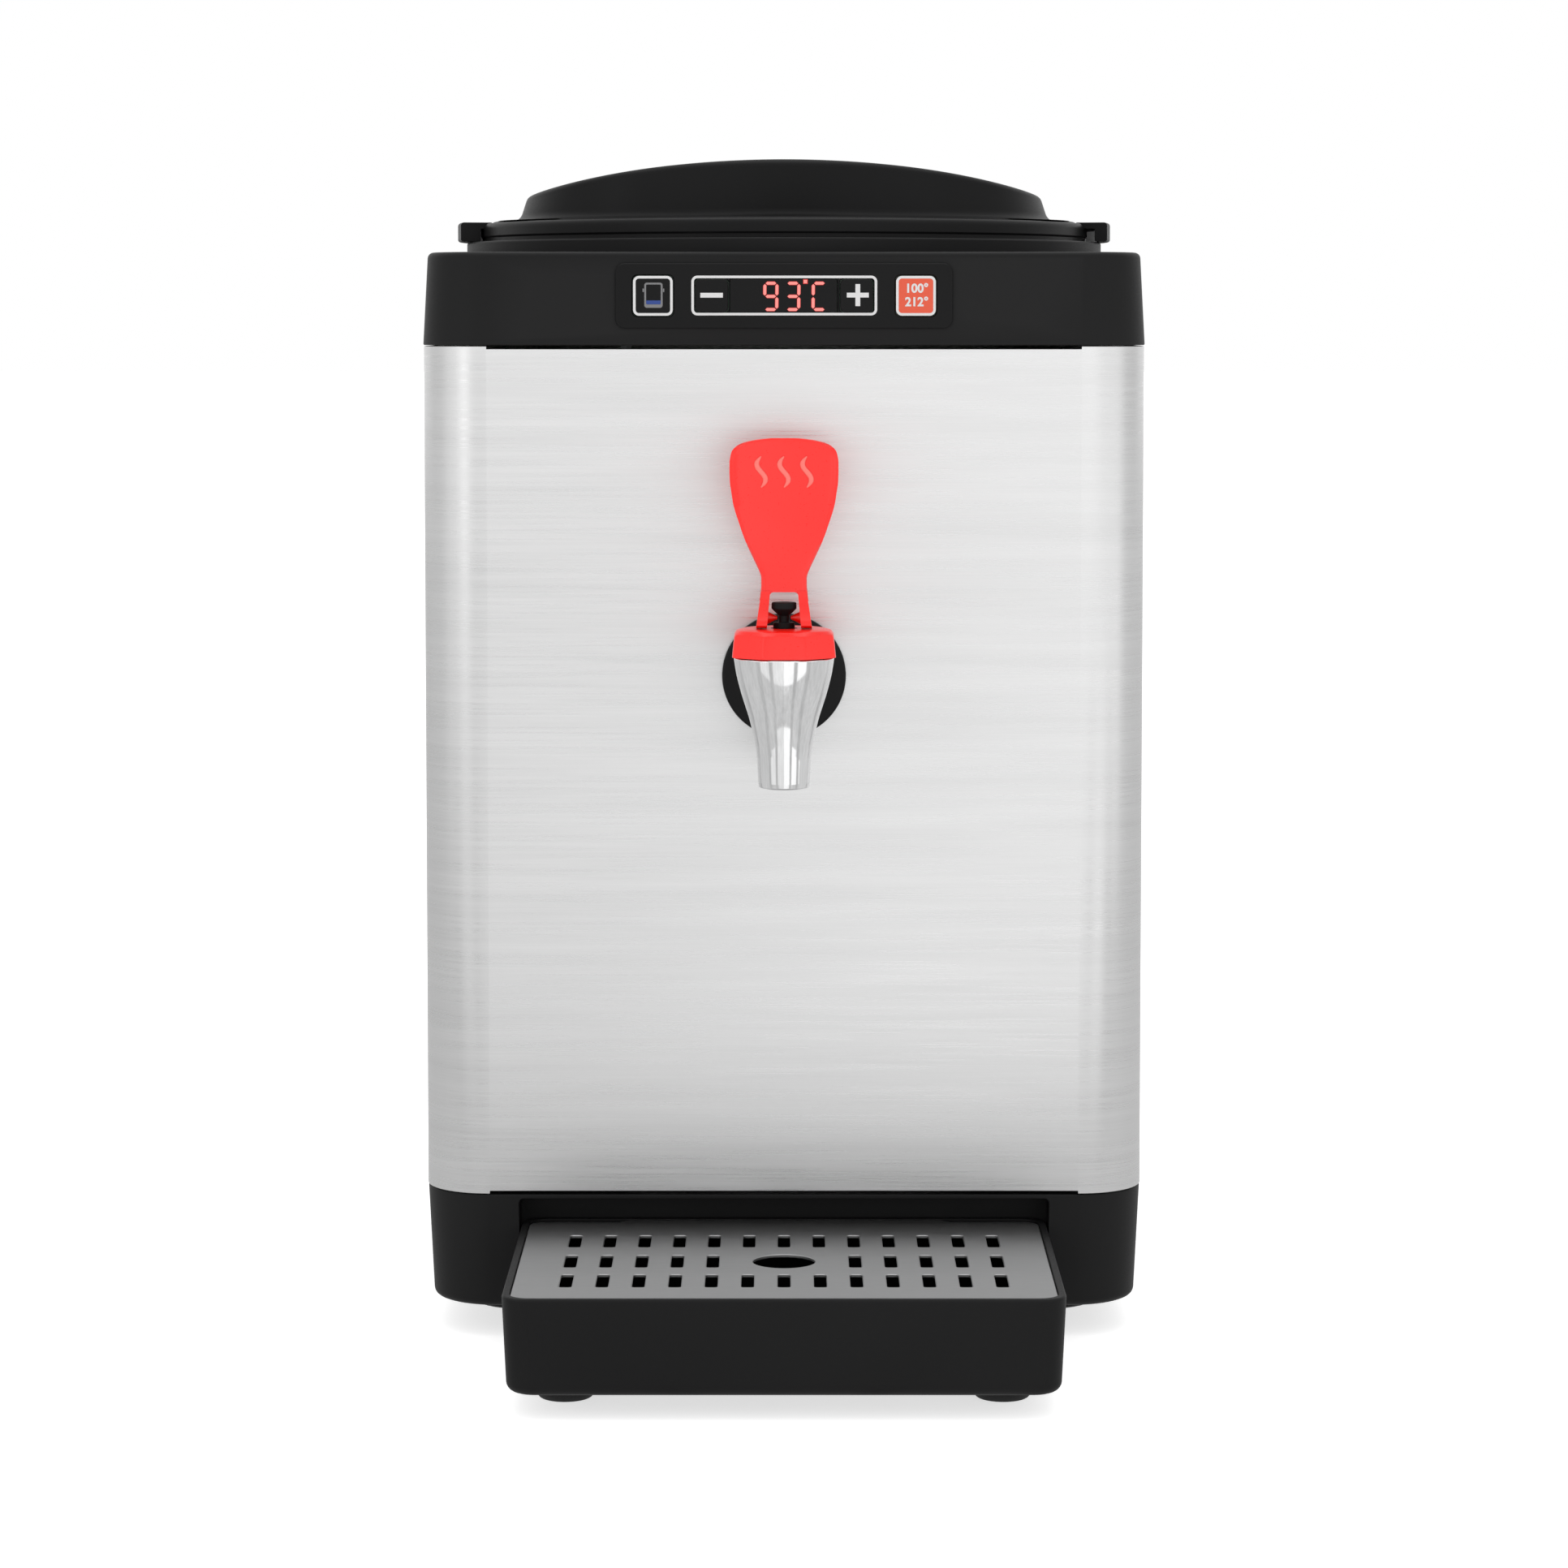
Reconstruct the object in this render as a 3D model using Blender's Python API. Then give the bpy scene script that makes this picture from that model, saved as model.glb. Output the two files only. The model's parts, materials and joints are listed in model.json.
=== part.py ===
"""Countertop hot-water dispenser: one object for each separate piece.

Metres, +Z up, +X to the user's right, -Y towards the user. The origin is the
middle of the footprint, on the surface that the dispenser stands on.
"""
from math import cos, pi, radians, sin, sqrt

import bmesh
import bpy
from mathutils import Vector

# ---- Driving dimensions ---------------------------------------------------
BODY_HALF = 0.130                   # half the width and half the depth of the body
BODY_Y = 0.059                      # middle of the body, front to back
FRONT_Y = BODY_Y - BODY_HALF
REAR_Y = BODY_Y + BODY_HALF
CORNER = 0.024                      # upright corners of the body
GAP = 0.0003                        # between pieces that touch
SHEET = 0.001                       # stainless sheet
WALL = 0.003                        # moulded walls

# Heights of the stacked pieces
BASE_BOTTOM = 0.011
BASE_TOP = 0.0523
JACKET_BOTTOM = BASE_TOP + GAP
JACKET_TOP = 0.3575
HOUSING_BOTTOM = JACKET_TOP + GAP
HOUSING_TOP = 0.391
COLLAR_TOP = 0.3963
LID_TOP = 0.4041
LID_CREST = 0.4258

# Upper housing and its round mouth
HOUSING_HALF = 0.1302
HOUSING_TOP_HALF = 0.1285
COLLAR_RADIUS = 0.1218
COLLAR_BORE = 0.118
MOUTH_RADIUS = 0.100

# Lid
LID_RADIUS = 0.1165
EAR_RADIUS = 0.1253
LID_WALL = 0.0025
DOME_X = 0.100
DOME_Y = 0.080
DOME_CORNER = 0.056
ARCH_RADIUS = 0.400

# Boiler
TANK_RADIUS = 0.098
TANK_WALL = 0.0012
TANK_BOTTOM = 0.226
TANK_TOP = 0.381
FLANGE_RADIUS = 0.106
CHASSIS_TOP = TANK_BOTTOM - GAP
CHASSIS_HALF = 0.112
HEATER_LOOP = 0.056
HEATER_TUBE = 0.004
TEMPERATURE_PROBE = (0.030, 0.030)
LEVEL_PROBE = (-0.058, 0.089)
THERMOSTAT = (-0.030, 0.040)
DRAIN = (-0.035, 0.105)

# Mains inlet, switch and drain plug, on the rear of the base
PORT_Z = 0.032
INLET_X = -0.045
INLET_HALF_X = 0.0150
INLET_HALF_Z = 0.0110
SWITCH_X = 0.045
SWITCH_HALF_X = 0.0075
SWITCH_HALF_Z = 0.0110
PORT_FACE_Y = REAR_Y - 0.0022

# Rear panel
JACKET_REAR_Y = 0.1845
REAR_RETURN = 0.100
PANEL_THICK = 0.0012
PANEL_HALF = 0.108
PANEL_HALF_HIGH = 0.1521
PANEL_MIDDLE = 0.205                # height of the panel's middle
VENT_ROWS = (0.095, 0.312)
VENT_PITCH = 0.014
VENT_HALF_WIDTH = 0.0022
VENT_HALF_HEIGHT = 0.013
SCREW_X = 0.104
SCREW_HEIGHTS = (0.066, 0.205, 0.344)

# Drip tray and grid
RECESS_HALF = 0.0955
RECESS_Y = -0.057
RECESS_TOP = 0.0508
TRAY_FRONT_Y = -0.189
TRAY_BACK_Y = RECESS_Y - 0.001
TRAY_HALF = 0.0946
TRAY_DRAFT = 0.0015
TRAY_BOTTOM = 0.008
TRAY_TOP = 0.0414
TRAY_RIM = 0.0026
GRID_TOP = 0.0411
GRID_THICK = 0.0012
GRID_HALF = 0.0917
GRID_FRONT_Y = -0.1861
GRID_BACK_Y = -0.065
TONGUE_Y = -0.0609
TONGUE_HALF = 0.060
SLOT_PITCH = 0.01232
SLOT_WIDTH = 0.0043
SLOT_LENGTH = 0.0194
SLOT_ROWS = (-0.1594, -0.1293, -0.0972)
GRID_HOLE_RADIUS = 0.0108
TRAY_FOOT = (0.0745, -0.154)
BODY_FOOT = (0.085, 0.125)          # from the middle of the body

# Tap
TAP_Y = -0.1293
TAP_AXIS_Z = 0.2402                 # height of the shank
SHANK_RADIUS = 0.0078
SHANK_BORE = 0.005
SHANK_HOLE = 0.0083
FLANGE_FRONT_Y = -0.0753
FLANGE_BACK_Y = FRONT_Y - GAP
TAP_TOP = 0.2511
BONNET_TOP = 0.2612
PIVOT_Z = 0.2648                    # lever pins
LEVER_TOP = 0.3268
LEVER_SWING = radians(35)
STEM_LIFT = 0.003                   # how far the full swing lifts the stem

# Control panel, on the front face of the upper housing
PANEL_Z = 0.37535
PANEL_HALF_X = 0.060
PANEL_HALF_Z = 0.01155
FACE_Y = BODY_Y - HOUSING_HALF      # front face of the upper housing
PANEL_FRONT_Y = FACE_Y - 0.0011
KEY_FRONT_Y = PANEL_FRONT_Y - 0.0003
KEY_BACK_Y = FACE_Y + 0.0012
KEY_HALF_Z = 0.0059                 # keys and window inside the long frame
FRAME_HALF = 0.00705                # half the side of a square key
BOARD_Y = FACE_Y + WALL + 0.0009
KEYS = (                            # name, middle in X, half width, finish
    ("key_level", -0.04655, FRAME_HALF, "gloss_black"),
    ("key_minus", -0.02570, 0.0058, "gloss_black"),
    ("key_plus", 0.02580, 0.0058, "gloss_black"),
    ("key_boil", 0.04685, FRAME_HALF, "orange_plastic"),
)
WINDOW_X = -0.00015
WINDOW_HALF = 0.0190

# Sides of the turned pieces
LARGE_ROUND = 40
SMALL_ROUND = 24
FASTENER_ROUND = 8

# Finishes: colour, roughness, metallic
FINISHES = {
    "black_plastic": ((0.018, 0.018, 0.019), 0.45, 0.0),
    "gloss_black": ((0.012, 0.012, 0.013), 0.15, 0.0),
    "brushed_steel": ((0.72, 0.72, 0.71), 0.32, 1.0),
    "polished_steel": ((0.78, 0.78, 0.78), 0.12, 1.0),
    "zinc_steel": ((0.55, 0.56, 0.58), 0.40, 1.0),
    "red_plastic": ((0.90, 0.055, 0.030), 0.30, 0.0),
    "orange_plastic": ((0.78, 0.12, 0.05), 0.35, 0.0),
    "black_rubber": ((0.015, 0.015, 0.015), 0.80, 0.0),
    "silicone": ((0.60, 0.61, 0.60), 0.55, 0.0),
    "foam": ((0.42, 0.42, 0.41), 0.90, 0.0),
    "board_green": ((0.020, 0.16, 0.060), 0.50, 0.0),
    "cable_grey": ((0.30, 0.30, 0.31), 0.55, 0.0),
}


# ---- Building tools -------------------------------------------------------
def clear_scene():
    for obj in list(bpy.data.objects):
        bpy.data.objects.remove(obj, do_unlink=True)


def paint(obj, finish):
    """Give the object a material of its own in one of the finishes."""
    colour, roughness, metallic = FINISHES[finish]
    material = bpy.data.materials.new(obj.name + "_" + finish)
    material.use_nodes = True
    shader = material.node_tree.nodes["Principled BSDF"]
    shader.inputs["Base Color"].default_value = (*colour, 1.0)
    shader.inputs["Roughness"].default_value = roughness
    shader.inputs["Metallic"].default_value = metallic
    material.diffuse_color = (*colour, 1.0)
    obj.data.materials.append(material)


def add_object(name, bm, finish=None, origin=(0.0, 0.0, 0.0), smooth=35):
    """Turn a bmesh in world coordinates into an object whose origin is at `origin`."""
    bmesh.ops.recalc_face_normals(bm, faces=bm.faces)
    bmesh.ops.translate(bm, verts=bm.verts, vec=-Vector(origin))
    mesh = bpy.data.meshes.new(name)
    bm.to_mesh(mesh)
    bm.free()
    mesh.shade_smooth()
    mesh.set_sharp_from_angle(angle=radians(smooth))
    obj = bpy.data.objects.new(name, mesh)
    obj.location = origin
    bpy.context.scene.collection.objects.link(obj)
    if finish:
        paint(obj, finish)
    else:
        obj.hide_render = True
        obj.display_type = "WIRE"
    return obj


def add_rings(bm, rings, wrap=False):
    """Join rings of points into one closed body. A ring of one point is a tip."""
    loops = [[bm.verts.new(point) for point in ring] for ring in rings]
    pairs = list(zip(loops, loops[1:]))
    if wrap:
        pairs.append((loops[-1], loops[0]))
    for low, high in pairs:
        count = max(len(low), len(high))
        for i in range(count):
            j = (i + 1) % count
            corners = (low[i % len(low)], low[j % len(low)], high[j % len(high)], high[i % len(high)])
            bm.faces.new(list(dict.fromkeys(corners)))
    if not wrap:
        for end in (loops[0], loops[-1]):
            if len(end) > 2:
                bm.faces.new(end)


def ring_body(name, rings, finish=None, wrap=False, origin=(0.0, 0.0, 0.0), smooth=35):
    bm = bmesh.new()
    add_rings(bm, rings, wrap)
    return add_object(name, bm, finish, origin, smooth)


def at_height(outline, z):
    return [(x, y, z) for x, y in outline]


def rounded(half_x, y_low, y_high, radius, steps=5):
    """Outline in plan of a rectangle with rounded corners, counter-clockwise."""
    points = []
    for corner in range(4):
        sign_x = 1 if corner in (0, 3) else -1
        centre_y = y_high - radius if corner < 2 else y_low + radius
        for k in range(steps + 1):
            angle = pi / 2 * (corner + k / steps)
            x = sign_x * (half_x - radius) + radius * cos(angle)
            points.append((x, centre_y + radius * sin(angle)))
    return points


def turned_rings(profile, centre, steps, along):
    """Rings of a turned shape; the profile is (radius, place along the axis)."""
    rings = []
    for radius, place in profile:
        ring = []
        for k in range(steps if radius > 0 else 1):
            angle = 2 * pi * k / steps
            u = radius * cos(angle)
            v = radius * sin(angle)
            if along == "Z":
                ring.append((centre[0] + u, centre[1] + v, place))
            elif along == "Y":
                ring.append((centre[0] + u, place, centre[1] + v))
            else:
                ring.append((place, centre[0] + u, centre[1] + v))
        rings.append(ring)
    return rings


def turned(name, profile, centre, finish=None, steps=SMALL_ROUND, along="Z", origin=(0.0, 0.0, 0.0)):
    """Turned piece. A profile that starts off the axis is a closed loop."""
    wrap = profile[0][0] > 0
    rings = turned_rings(profile, centre, steps, along)
    return ring_body(name, rings, finish, wrap, origin)


def add_box(bm, x, y, z):
    """Box from the (low, high) pairs of its three sides."""
    rings = []
    for height in z:
        rings.append([(x[0], y[0], height), (x[1], y[0], height), (x[1], y[1], height), (x[0], y[1], height)])
    add_rings(bm, rings)


def box(name, x, y, z, finish=None, origin=(0.0, 0.0, 0.0)):
    bm = bmesh.new()
    add_box(bm, x, y, z)
    return add_object(name, bm, finish, origin)


def upright_plate(name, half_x, half_z, centre, y, radius, finish=None, steps=3, origin=(0.0, 0.0, 0.0)):
    """Plate that stands across the front, with rounded corners."""
    outline = rounded(half_x, -half_z, half_z, radius, steps)
    rings = [[(centre[0] + px, depth, centre[1] + pz) for px, pz in outline] for depth in y]
    return ring_body(name, rings, finish, origin=origin)


def combine(target, other, operation="DIFFERENCE"):
    """Cut the other object out of the target, or join it on, and hide the other."""
    modifier = target.modifiers.new(other.name, "BOOLEAN")
    modifier.operation = operation
    modifier.object = other
    modifier.solver = "EXACT"
    return target


def tube(name, points, radius, finish, sides=2):
    """Round tube along a smooth run of points, with filled ends."""
    curve = bpy.data.curves.new(name, "CURVE")
    curve.dimensions = "3D"
    curve.bevel_depth = radius
    curve.bevel_resolution = sides
    curve.use_fill_caps = True
    spline = curve.splines.new("POLY")
    spline.points.add(len(points) - 1)
    for place, point in zip(spline.points, points):
        place.co = (*point, 1.0)
    obj = bpy.data.objects.new(name, curve)
    bpy.context.scene.collection.objects.link(obj)
    paint(obj, finish)
    return obj


def smooth_path(stops, steps=4):
    """Catmull-Rom curve through the stops."""
    stops = [Vector(stop) for stop in stops]
    padded = [stops[0] * 2 - stops[1]] + stops + [stops[-1] * 2 - stops[-2]]
    points = []
    for a, b, c, d in zip(padded, padded[1:], padded[2:], padded[3:]):
        for k in range(steps):
            t = k / steps
            points.append(0.5 * (2 * b + (c - a) * t + (2 * a - 5 * b + 4 * c - d) * t ** 2
                                 + (3 * b - a - 3 * c + d) * t ** 3))
    points.append(stops[-1])
    return points


# ---- Housing --------------------------------------------------------------
def jacket_half(offset):
    """Left half of the jacket in plan, from the rear return to the flat front."""
    rear_radius = 0.021
    points = [(-REAR_RETURN, JACKET_REAR_Y - offset)]
    corners = ((rear_radius, JACKET_REAR_Y - rear_radius, 90), (CORNER, FRONT_Y + CORNER, 180))
    for radius, centre_y, start in corners:
        for k in range(7):
            angle = radians(start + 15 * k)
            points.append((-(BODY_HALF - radius) + (radius - offset) * cos(angle),
                           centre_y + (radius - offset) * sin(angle)))
    points.append((-(BODY_HALF - CORNER) + 0.0001, FRONT_Y + offset))
    return points


def build_jacket():
    """Stainless wrap, with the edges of its flat front trimmed 1 mm short."""
    trim = 0.001
    outer = jacket_half(0.0)
    inner = jacket_half(SHEET)
    outer += [(-x, y) for x, y in reversed(outer)]
    inner += [(-x, y) for x, y in reversed(inner)]
    rings = []
    for (x_out, y_out), (x_in, y_in) in zip(outer, inner):
        on_front = y_out < 0 and abs(x_out) < BODY_HALF - CORNER - 0.00005
        low = JACKET_BOTTOM + (trim if on_front else 0.0)
        high = JACKET_TOP - (trim if on_front else 0.0)
        rings.append([(x_out, y_out, low), (x_out, y_out, high), (x_in, y_in, high), (x_in, y_in, low)])
    jacket = ring_body("steel_jacket", rings, "brushed_steel", smooth=25)
    holes = bmesh.new()
    shank_profile = [(0, FRONT_Y - 0.01), (SHANK_HOLE, FRONT_Y - 0.01), (SHANK_HOLE, FRONT_Y + 0.01),
                     (0, FRONT_Y + 0.01)]
    add_rings(holes, turned_rings(shank_profile, (0.0, TAP_AXIS_Z), SMALL_ROUND, "Y"))
    add_screw_holes(holes)
    return combine(jacket, add_object("cut_jacket_holes", holes))


def add_screw_holes(bm):
    clearance = 0.0019
    low, high = JACKET_REAR_Y - 0.010, REAR_Y
    for side in (-1, 1):
        for z in SCREW_HEIGHTS:
            profile = [(0, low), (clearance, low), (clearance, high), (0, high)]
            add_rings(bm, turned_rings(profile, (side * SCREW_X, z), FASTENER_ROUND, "Y"))


def build_rear_panel():
    """Flat cover with two rows of vent slots, on the rear returns of the jacket."""
    front = JACKET_REAR_Y + GAP
    panel = upright_plate("rear_panel", PANEL_HALF, PANEL_HALF_HIGH, (0.0, PANEL_MIDDLE),
                          (front, front + PANEL_THICK), 0.006, "brushed_steel")
    holes = bmesh.new()
    add_screw_holes(holes)
    for middle in VENT_ROWS:
        for k in range(-4, 5):
            x = VENT_PITCH * k
            add_box(holes, (x - VENT_HALF_WIDTH, x + VENT_HALF_WIDTH), (front - 0.01, front + 0.01),
                    (middle - VENT_HALF_HEIGHT, middle + VENT_HALF_HEIGHT))
    return combine(panel, add_object("cut_rear_panel", holes))


def build_rear_screws():
    seat = JACKET_REAR_Y + GAP + PANEL_THICK + GAP
    profile = [(0, seat + 0.0018), (0.0022, seat + 0.0018), (0.0034, seat + 0.0008), (0.0034, seat),
               (0.0016, seat), (0.0016, seat - 0.009), (0, seat - 0.009)]
    number = 1
    for side in (-1, 1):
        for z in SCREW_HEIGHTS:
            turned("rear_screw_%d" % number, profile, (side * SCREW_X, z), "zinc_steel", steps=FASTENER_ROUND,
                   along="Y")
            number += 1


def build_upper_housing():
    """Cap of the body: tapered sides, an upright front, a collar and a round mouth."""
    fillet = 0.002
    deck = WALL
    taper = HOUSING_HALF - HOUSING_TOP_HALF

    def outline(inset_x, inset_y, radius):
        return rounded(HOUSING_HALF - inset_x, FACE_Y + inset_y, REAR_Y - inset_x, radius)

    rings = [at_height(outline(WALL + taper, WALL, CORNER - WALL), HOUSING_TOP - deck),
             at_height(outline(WALL, WALL, CORNER - WALL), HOUSING_BOTTOM),
             at_height(outline(0, 0, CORNER), HOUSING_BOTTOM)]
    for angle in (0, 45, 90):
        inset = fillet * (1 - cos(radians(angle)))
        z = HOUSING_TOP - fillet * (1 - sin(radians(angle)))
        rings.append(at_height(outline(taper + inset, inset, CORNER - inset), z))
    housing = ring_body("upper_housing", rings, "black_plastic")
    collar = [(COLLAR_BORE, HOUSING_TOP - 0.001), (COLLAR_RADIUS, HOUSING_TOP - 0.001),
              (COLLAR_RADIUS, COLLAR_TOP - 0.0006), (COLLAR_RADIUS - 0.0006, COLLAR_TOP),
              (COLLAR_BORE, COLLAR_TOP)]
    combine(housing, turned("join_collar", collar, (0.0, BODY_Y), steps=LARGE_ROUND), "UNION")
    cuts = bmesh.new()
    mouth = [(0, HOUSING_TOP - 0.01), (MOUTH_RADIUS, HOUSING_TOP - 0.01), (MOUTH_RADIUS, HOUSING_TOP + 0.01),
             (0, HOUSING_TOP + 0.01)]
    add_rings(cuts, turned_rings(mouth, (0.0, BODY_Y), LARGE_ROUND, "Z"))
    window_z = (PANEL_Z - 0.0075, PANEL_Z + 0.0075)
    add_box(cuts, (-0.0545, 0.0545), (FACE_Y - 0.01, FACE_Y + 0.01), window_z)
    return combine(housing, add_object("cut_upper_housing", cuts))


def build_base_housing():
    """Base with the recess that the drip tray slides into."""
    draft = 0.002
    edge = 0.003

    def outline(inset):
        return rounded(BODY_HALF - inset, FRONT_Y + inset, REAR_Y - inset, CORNER - inset / 2)

    rings = [at_height(outline(draft + edge), BASE_BOTTOM),
             at_height(outline(draft + edge * 0.3), BASE_BOTTOM + edge * 0.3),
             at_height(outline(draft), BASE_BOTTOM + edge),
             at_height(outline(0.0), BASE_TOP)]
    base = ring_body("base_housing", rings, "black_plastic")
    cavity = rounded(0.1245, RECESS_Y + WALL, REAR_Y - 0.005, 0.021, 3)
    floor_hole = rounded(0.108, RECESS_Y + 0.010, 0.172, 0.010, 3)
    combine(base, ring_body("cut_base_cavity", [at_height(cavity, BASE_BOTTOM + WALL),
                                                at_height(cavity, BASE_TOP + 0.01)]))
    combine(base, ring_body("cut_base_floor", [at_height(floor_hole, 0.0), at_height(floor_hole, 0.03)]))
    recess = bmesh.new()
    add_box(recess, (-RECESS_HALF, RECESS_HALF), (FRONT_Y - 0.02, RECESS_Y), (0.0, RECESS_TOP))
    for half_x, half_z, x in ((INLET_HALF_X, INLET_HALF_Z, INLET_X), (SWITCH_HALF_X, SWITCH_HALF_Z, SWITCH_X)):
        add_box(recess, (x - half_x - GAP, x + half_x + GAP), (REAR_Y - 0.02, REAR_Y + 0.01),
                (PORT_Z - half_z - GAP, PORT_Z + half_z + GAP))
    drain = [(0, REAR_Y - 0.02), (0.0068, REAR_Y - 0.02), (0.0068, REAR_Y + 0.01), (0, REAR_Y + 0.01)]
    add_rings(recess, turned_rings(drain, (0.0, PORT_Z), 20, "Y"))
    return combine(base, add_object("cut_base_recess", recess))


def build_base_plate():
    """Plinth that closes the base from below, notched behind the tray."""
    top = BASE_BOTTOM - GAP
    outline = rounded(0.114, FRONT_Y + 0.009, 0.180, 0.018)
    plate = ring_body("base_plate", [at_height(outline, 0.0084), at_height(outline, top)], "zinc_steel")
    notch = box("cut_plate_notch", (-RECESS_HALF - 0.001, RECESS_HALF + 0.001), (FRONT_Y, RECESS_Y + 0.0005),
                (0.0, 0.02))
    return combine(plate, notch)


def build_feet():
    height = 0.0084 - GAP
    profile = [(0, height), (0.0105, height), (0.0100, 0.0012), (0.0088, 0), (0, 0)]
    for front_name, y in (("front", BODY_Y - BODY_FOOT[1] + 0.030), ("rear", BODY_Y + BODY_FOOT[1] - 0.030)):
        for side_name, side in (("left", -1), ("right", 1)):
            turned("foot_%s_%s" % (front_name, side_name), profile, (side * BODY_FOOT[0], y), "black_rubber",
                   steps=16)


# ---- Lid ------------------------------------------------------------------
def ray_to_rounded(angle, half_x, half_y, radius):
    """Distance from the middle of a rounded rectangle to its edge."""
    c, s = abs(cos(angle)), abs(sin(angle))
    if s * half_x <= c * (half_y - radius):
        return half_x / c
    if c * half_y <= s * (half_x - radius):
        return half_y / s
    across, along = half_x - radius, half_y - radius
    middle = c * across + s * along
    return middle + sqrt(middle ** 2 - across ** 2 - along ** 2 + radius ** 2)


def arch(x):
    """Height of the top of the lid, which is a shallow barrel vault across X."""
    return LID_CREST - (ARCH_RADIUS - sqrt(ARCH_RADIUS ** 2 - x ** 2))


def lid_circle(radius, z, steps):
    turns = [2 * pi * k / steps for k in range(steps)]
    return [(radius * cos(turn), BODY_Y + radius * sin(turn), z) for turn in turns]


def dome_ring(inset, steps, z=None, below=0.0, scale=1.0):
    """Ring of the dome, at a height z or a distance below the arch."""
    ring = []
    for k in range(steps):
        angle = 2 * pi * k / steps
        reach = scale * ray_to_rounded(angle, DOME_X - inset, DOME_Y - inset, DOME_CORNER)
        x = reach * cos(angle)
        ring.append((x, BODY_Y + reach * sin(angle), arch(x) - below if z is None else z))
    return ring


def build_lid():
    steps = 32
    rest = HOUSING_TOP + GAP
    bore = LID_RADIUS - LID_WALL
    inside_top = LID_TOP - LID_WALL
    rings = [[(0.0, BODY_Y, LID_CREST)],
             dome_ring(0.0075, steps, scale=0.5),
             dome_ring(0.0075, steps),
             dome_ring(0.0045, steps, below=0.0010),
             dome_ring(0.0030, steps, below=0.0040),
             dome_ring(0.0005, steps, z=LID_TOP + 0.0042),
             dome_ring(-0.0015, steps, z=LID_TOP + 0.0010),
             dome_ring(-0.0050, steps, z=LID_TOP),
             lid_circle(LID_RADIUS - 0.0028, LID_TOP, steps),
             lid_circle(LID_RADIUS - 0.0008, LID_TOP - 0.0008, steps),
             lid_circle(LID_RADIUS, LID_TOP - 0.0028, steps),
             lid_circle(LID_RADIUS, rest, steps),
             lid_circle(bore, rest, steps),
             lid_circle(bore, inside_top, steps),
             dome_ring(0.0030, steps, z=inside_top),
             dome_ring(0.0055, steps, below=0.0060),
             dome_ring(0.0100, steps, below=LID_WALL),
             dome_ring(0.0100, steps, below=LID_WALL, scale=0.5),
             [(0.0, BODY_Y, LID_CREST - LID_WALL)]]
    lid = ring_body("lid_shell", rings, "black_plastic")
    for side, middle, lip in (("left", 180, 0.0076), ("right", 0, 0.0047)):
        inner = EAR_RADIUS - lip
        section = [(LID_RADIUS - 0.0015, LID_TOP - 0.0026), (LID_RADIUS - 0.0015, LID_TOP - 0.0003),
                   (EAR_RADIUS - 0.0012, LID_TOP - 0.0003), (EAR_RADIUS, LID_TOP - 0.0015),
                   (EAR_RADIUS, COLLAR_TOP + GAP), (inner, COLLAR_TOP + GAP), (inner, LID_TOP - 0.0026)]
        ear = []
        for k in range(7):
            angle = radians(middle - 12 + 4 * k)
            ear.append([(r * cos(angle), BODY_Y + r * sin(angle), z) for r, z in section])
        combine(lid, ring_body("join_ear_" + side, ear), "UNION")
    plug = MOUTH_RADIUS - 0.0045
    liner = [(0, 0.383), (plug, 0.383), (plug, rest + GAP), (bore - 0.0005, rest + GAP),
             (bore - 0.0005, 0.394), (0, 0.394)]
    turned("lid_liner", liner, (0.0, BODY_Y), "black_plastic", steps=steps)
    seal = [(plug + GAP, 0.3850), (MOUTH_RADIUS - 0.0006, 0.3856), (MOUTH_RADIUS - 0.0006, 0.3876),
            (plug + GAP, 0.3882)]
    turned("lid_seal", seal, (0.0, BODY_Y), "silicone", steps=steps)


# ---- Boiler and what is inside the body -----------------------------------
def heater_path():
    """Loop in the bottom of the tank, with both ends turned down through the floor."""
    bend = 0.010
    level = 0.240
    open_half = radians(9.5)
    right, left = [], []
    for side, run in ((1, right), (-1, left)):
        angle = pi / 2 - side * open_half
        x, y = HEATER_LOOP * cos(angle), BODY_Y + HEATER_LOOP * sin(angle)
        run.append((x, y, 0.206))
        run.append((x, y, level - bend))
        for k in (1, 2, 3):
            turn = radians(30 * k)
            shift = bend * (1 - cos(turn)) / HEATER_LOOP
            point = angle - side * shift
            run.append((HEATER_LOOP * cos(point), BODY_Y + HEATER_LOOP * sin(point),
                        level - bend + bend * sin(turn)))
    start = pi / 2 - open_half - bend / HEATER_LOOP
    sweep = 2 * (pi - open_half - bend / HEATER_LOOP)
    count = 26
    loop = []
    for k in range(1, count):
        angle = start - sweep * k / count
        loop.append((HEATER_LOOP * cos(angle), BODY_Y + HEATER_LOOP * sin(angle), level))
    return right + loop + left[::-1]


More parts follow.
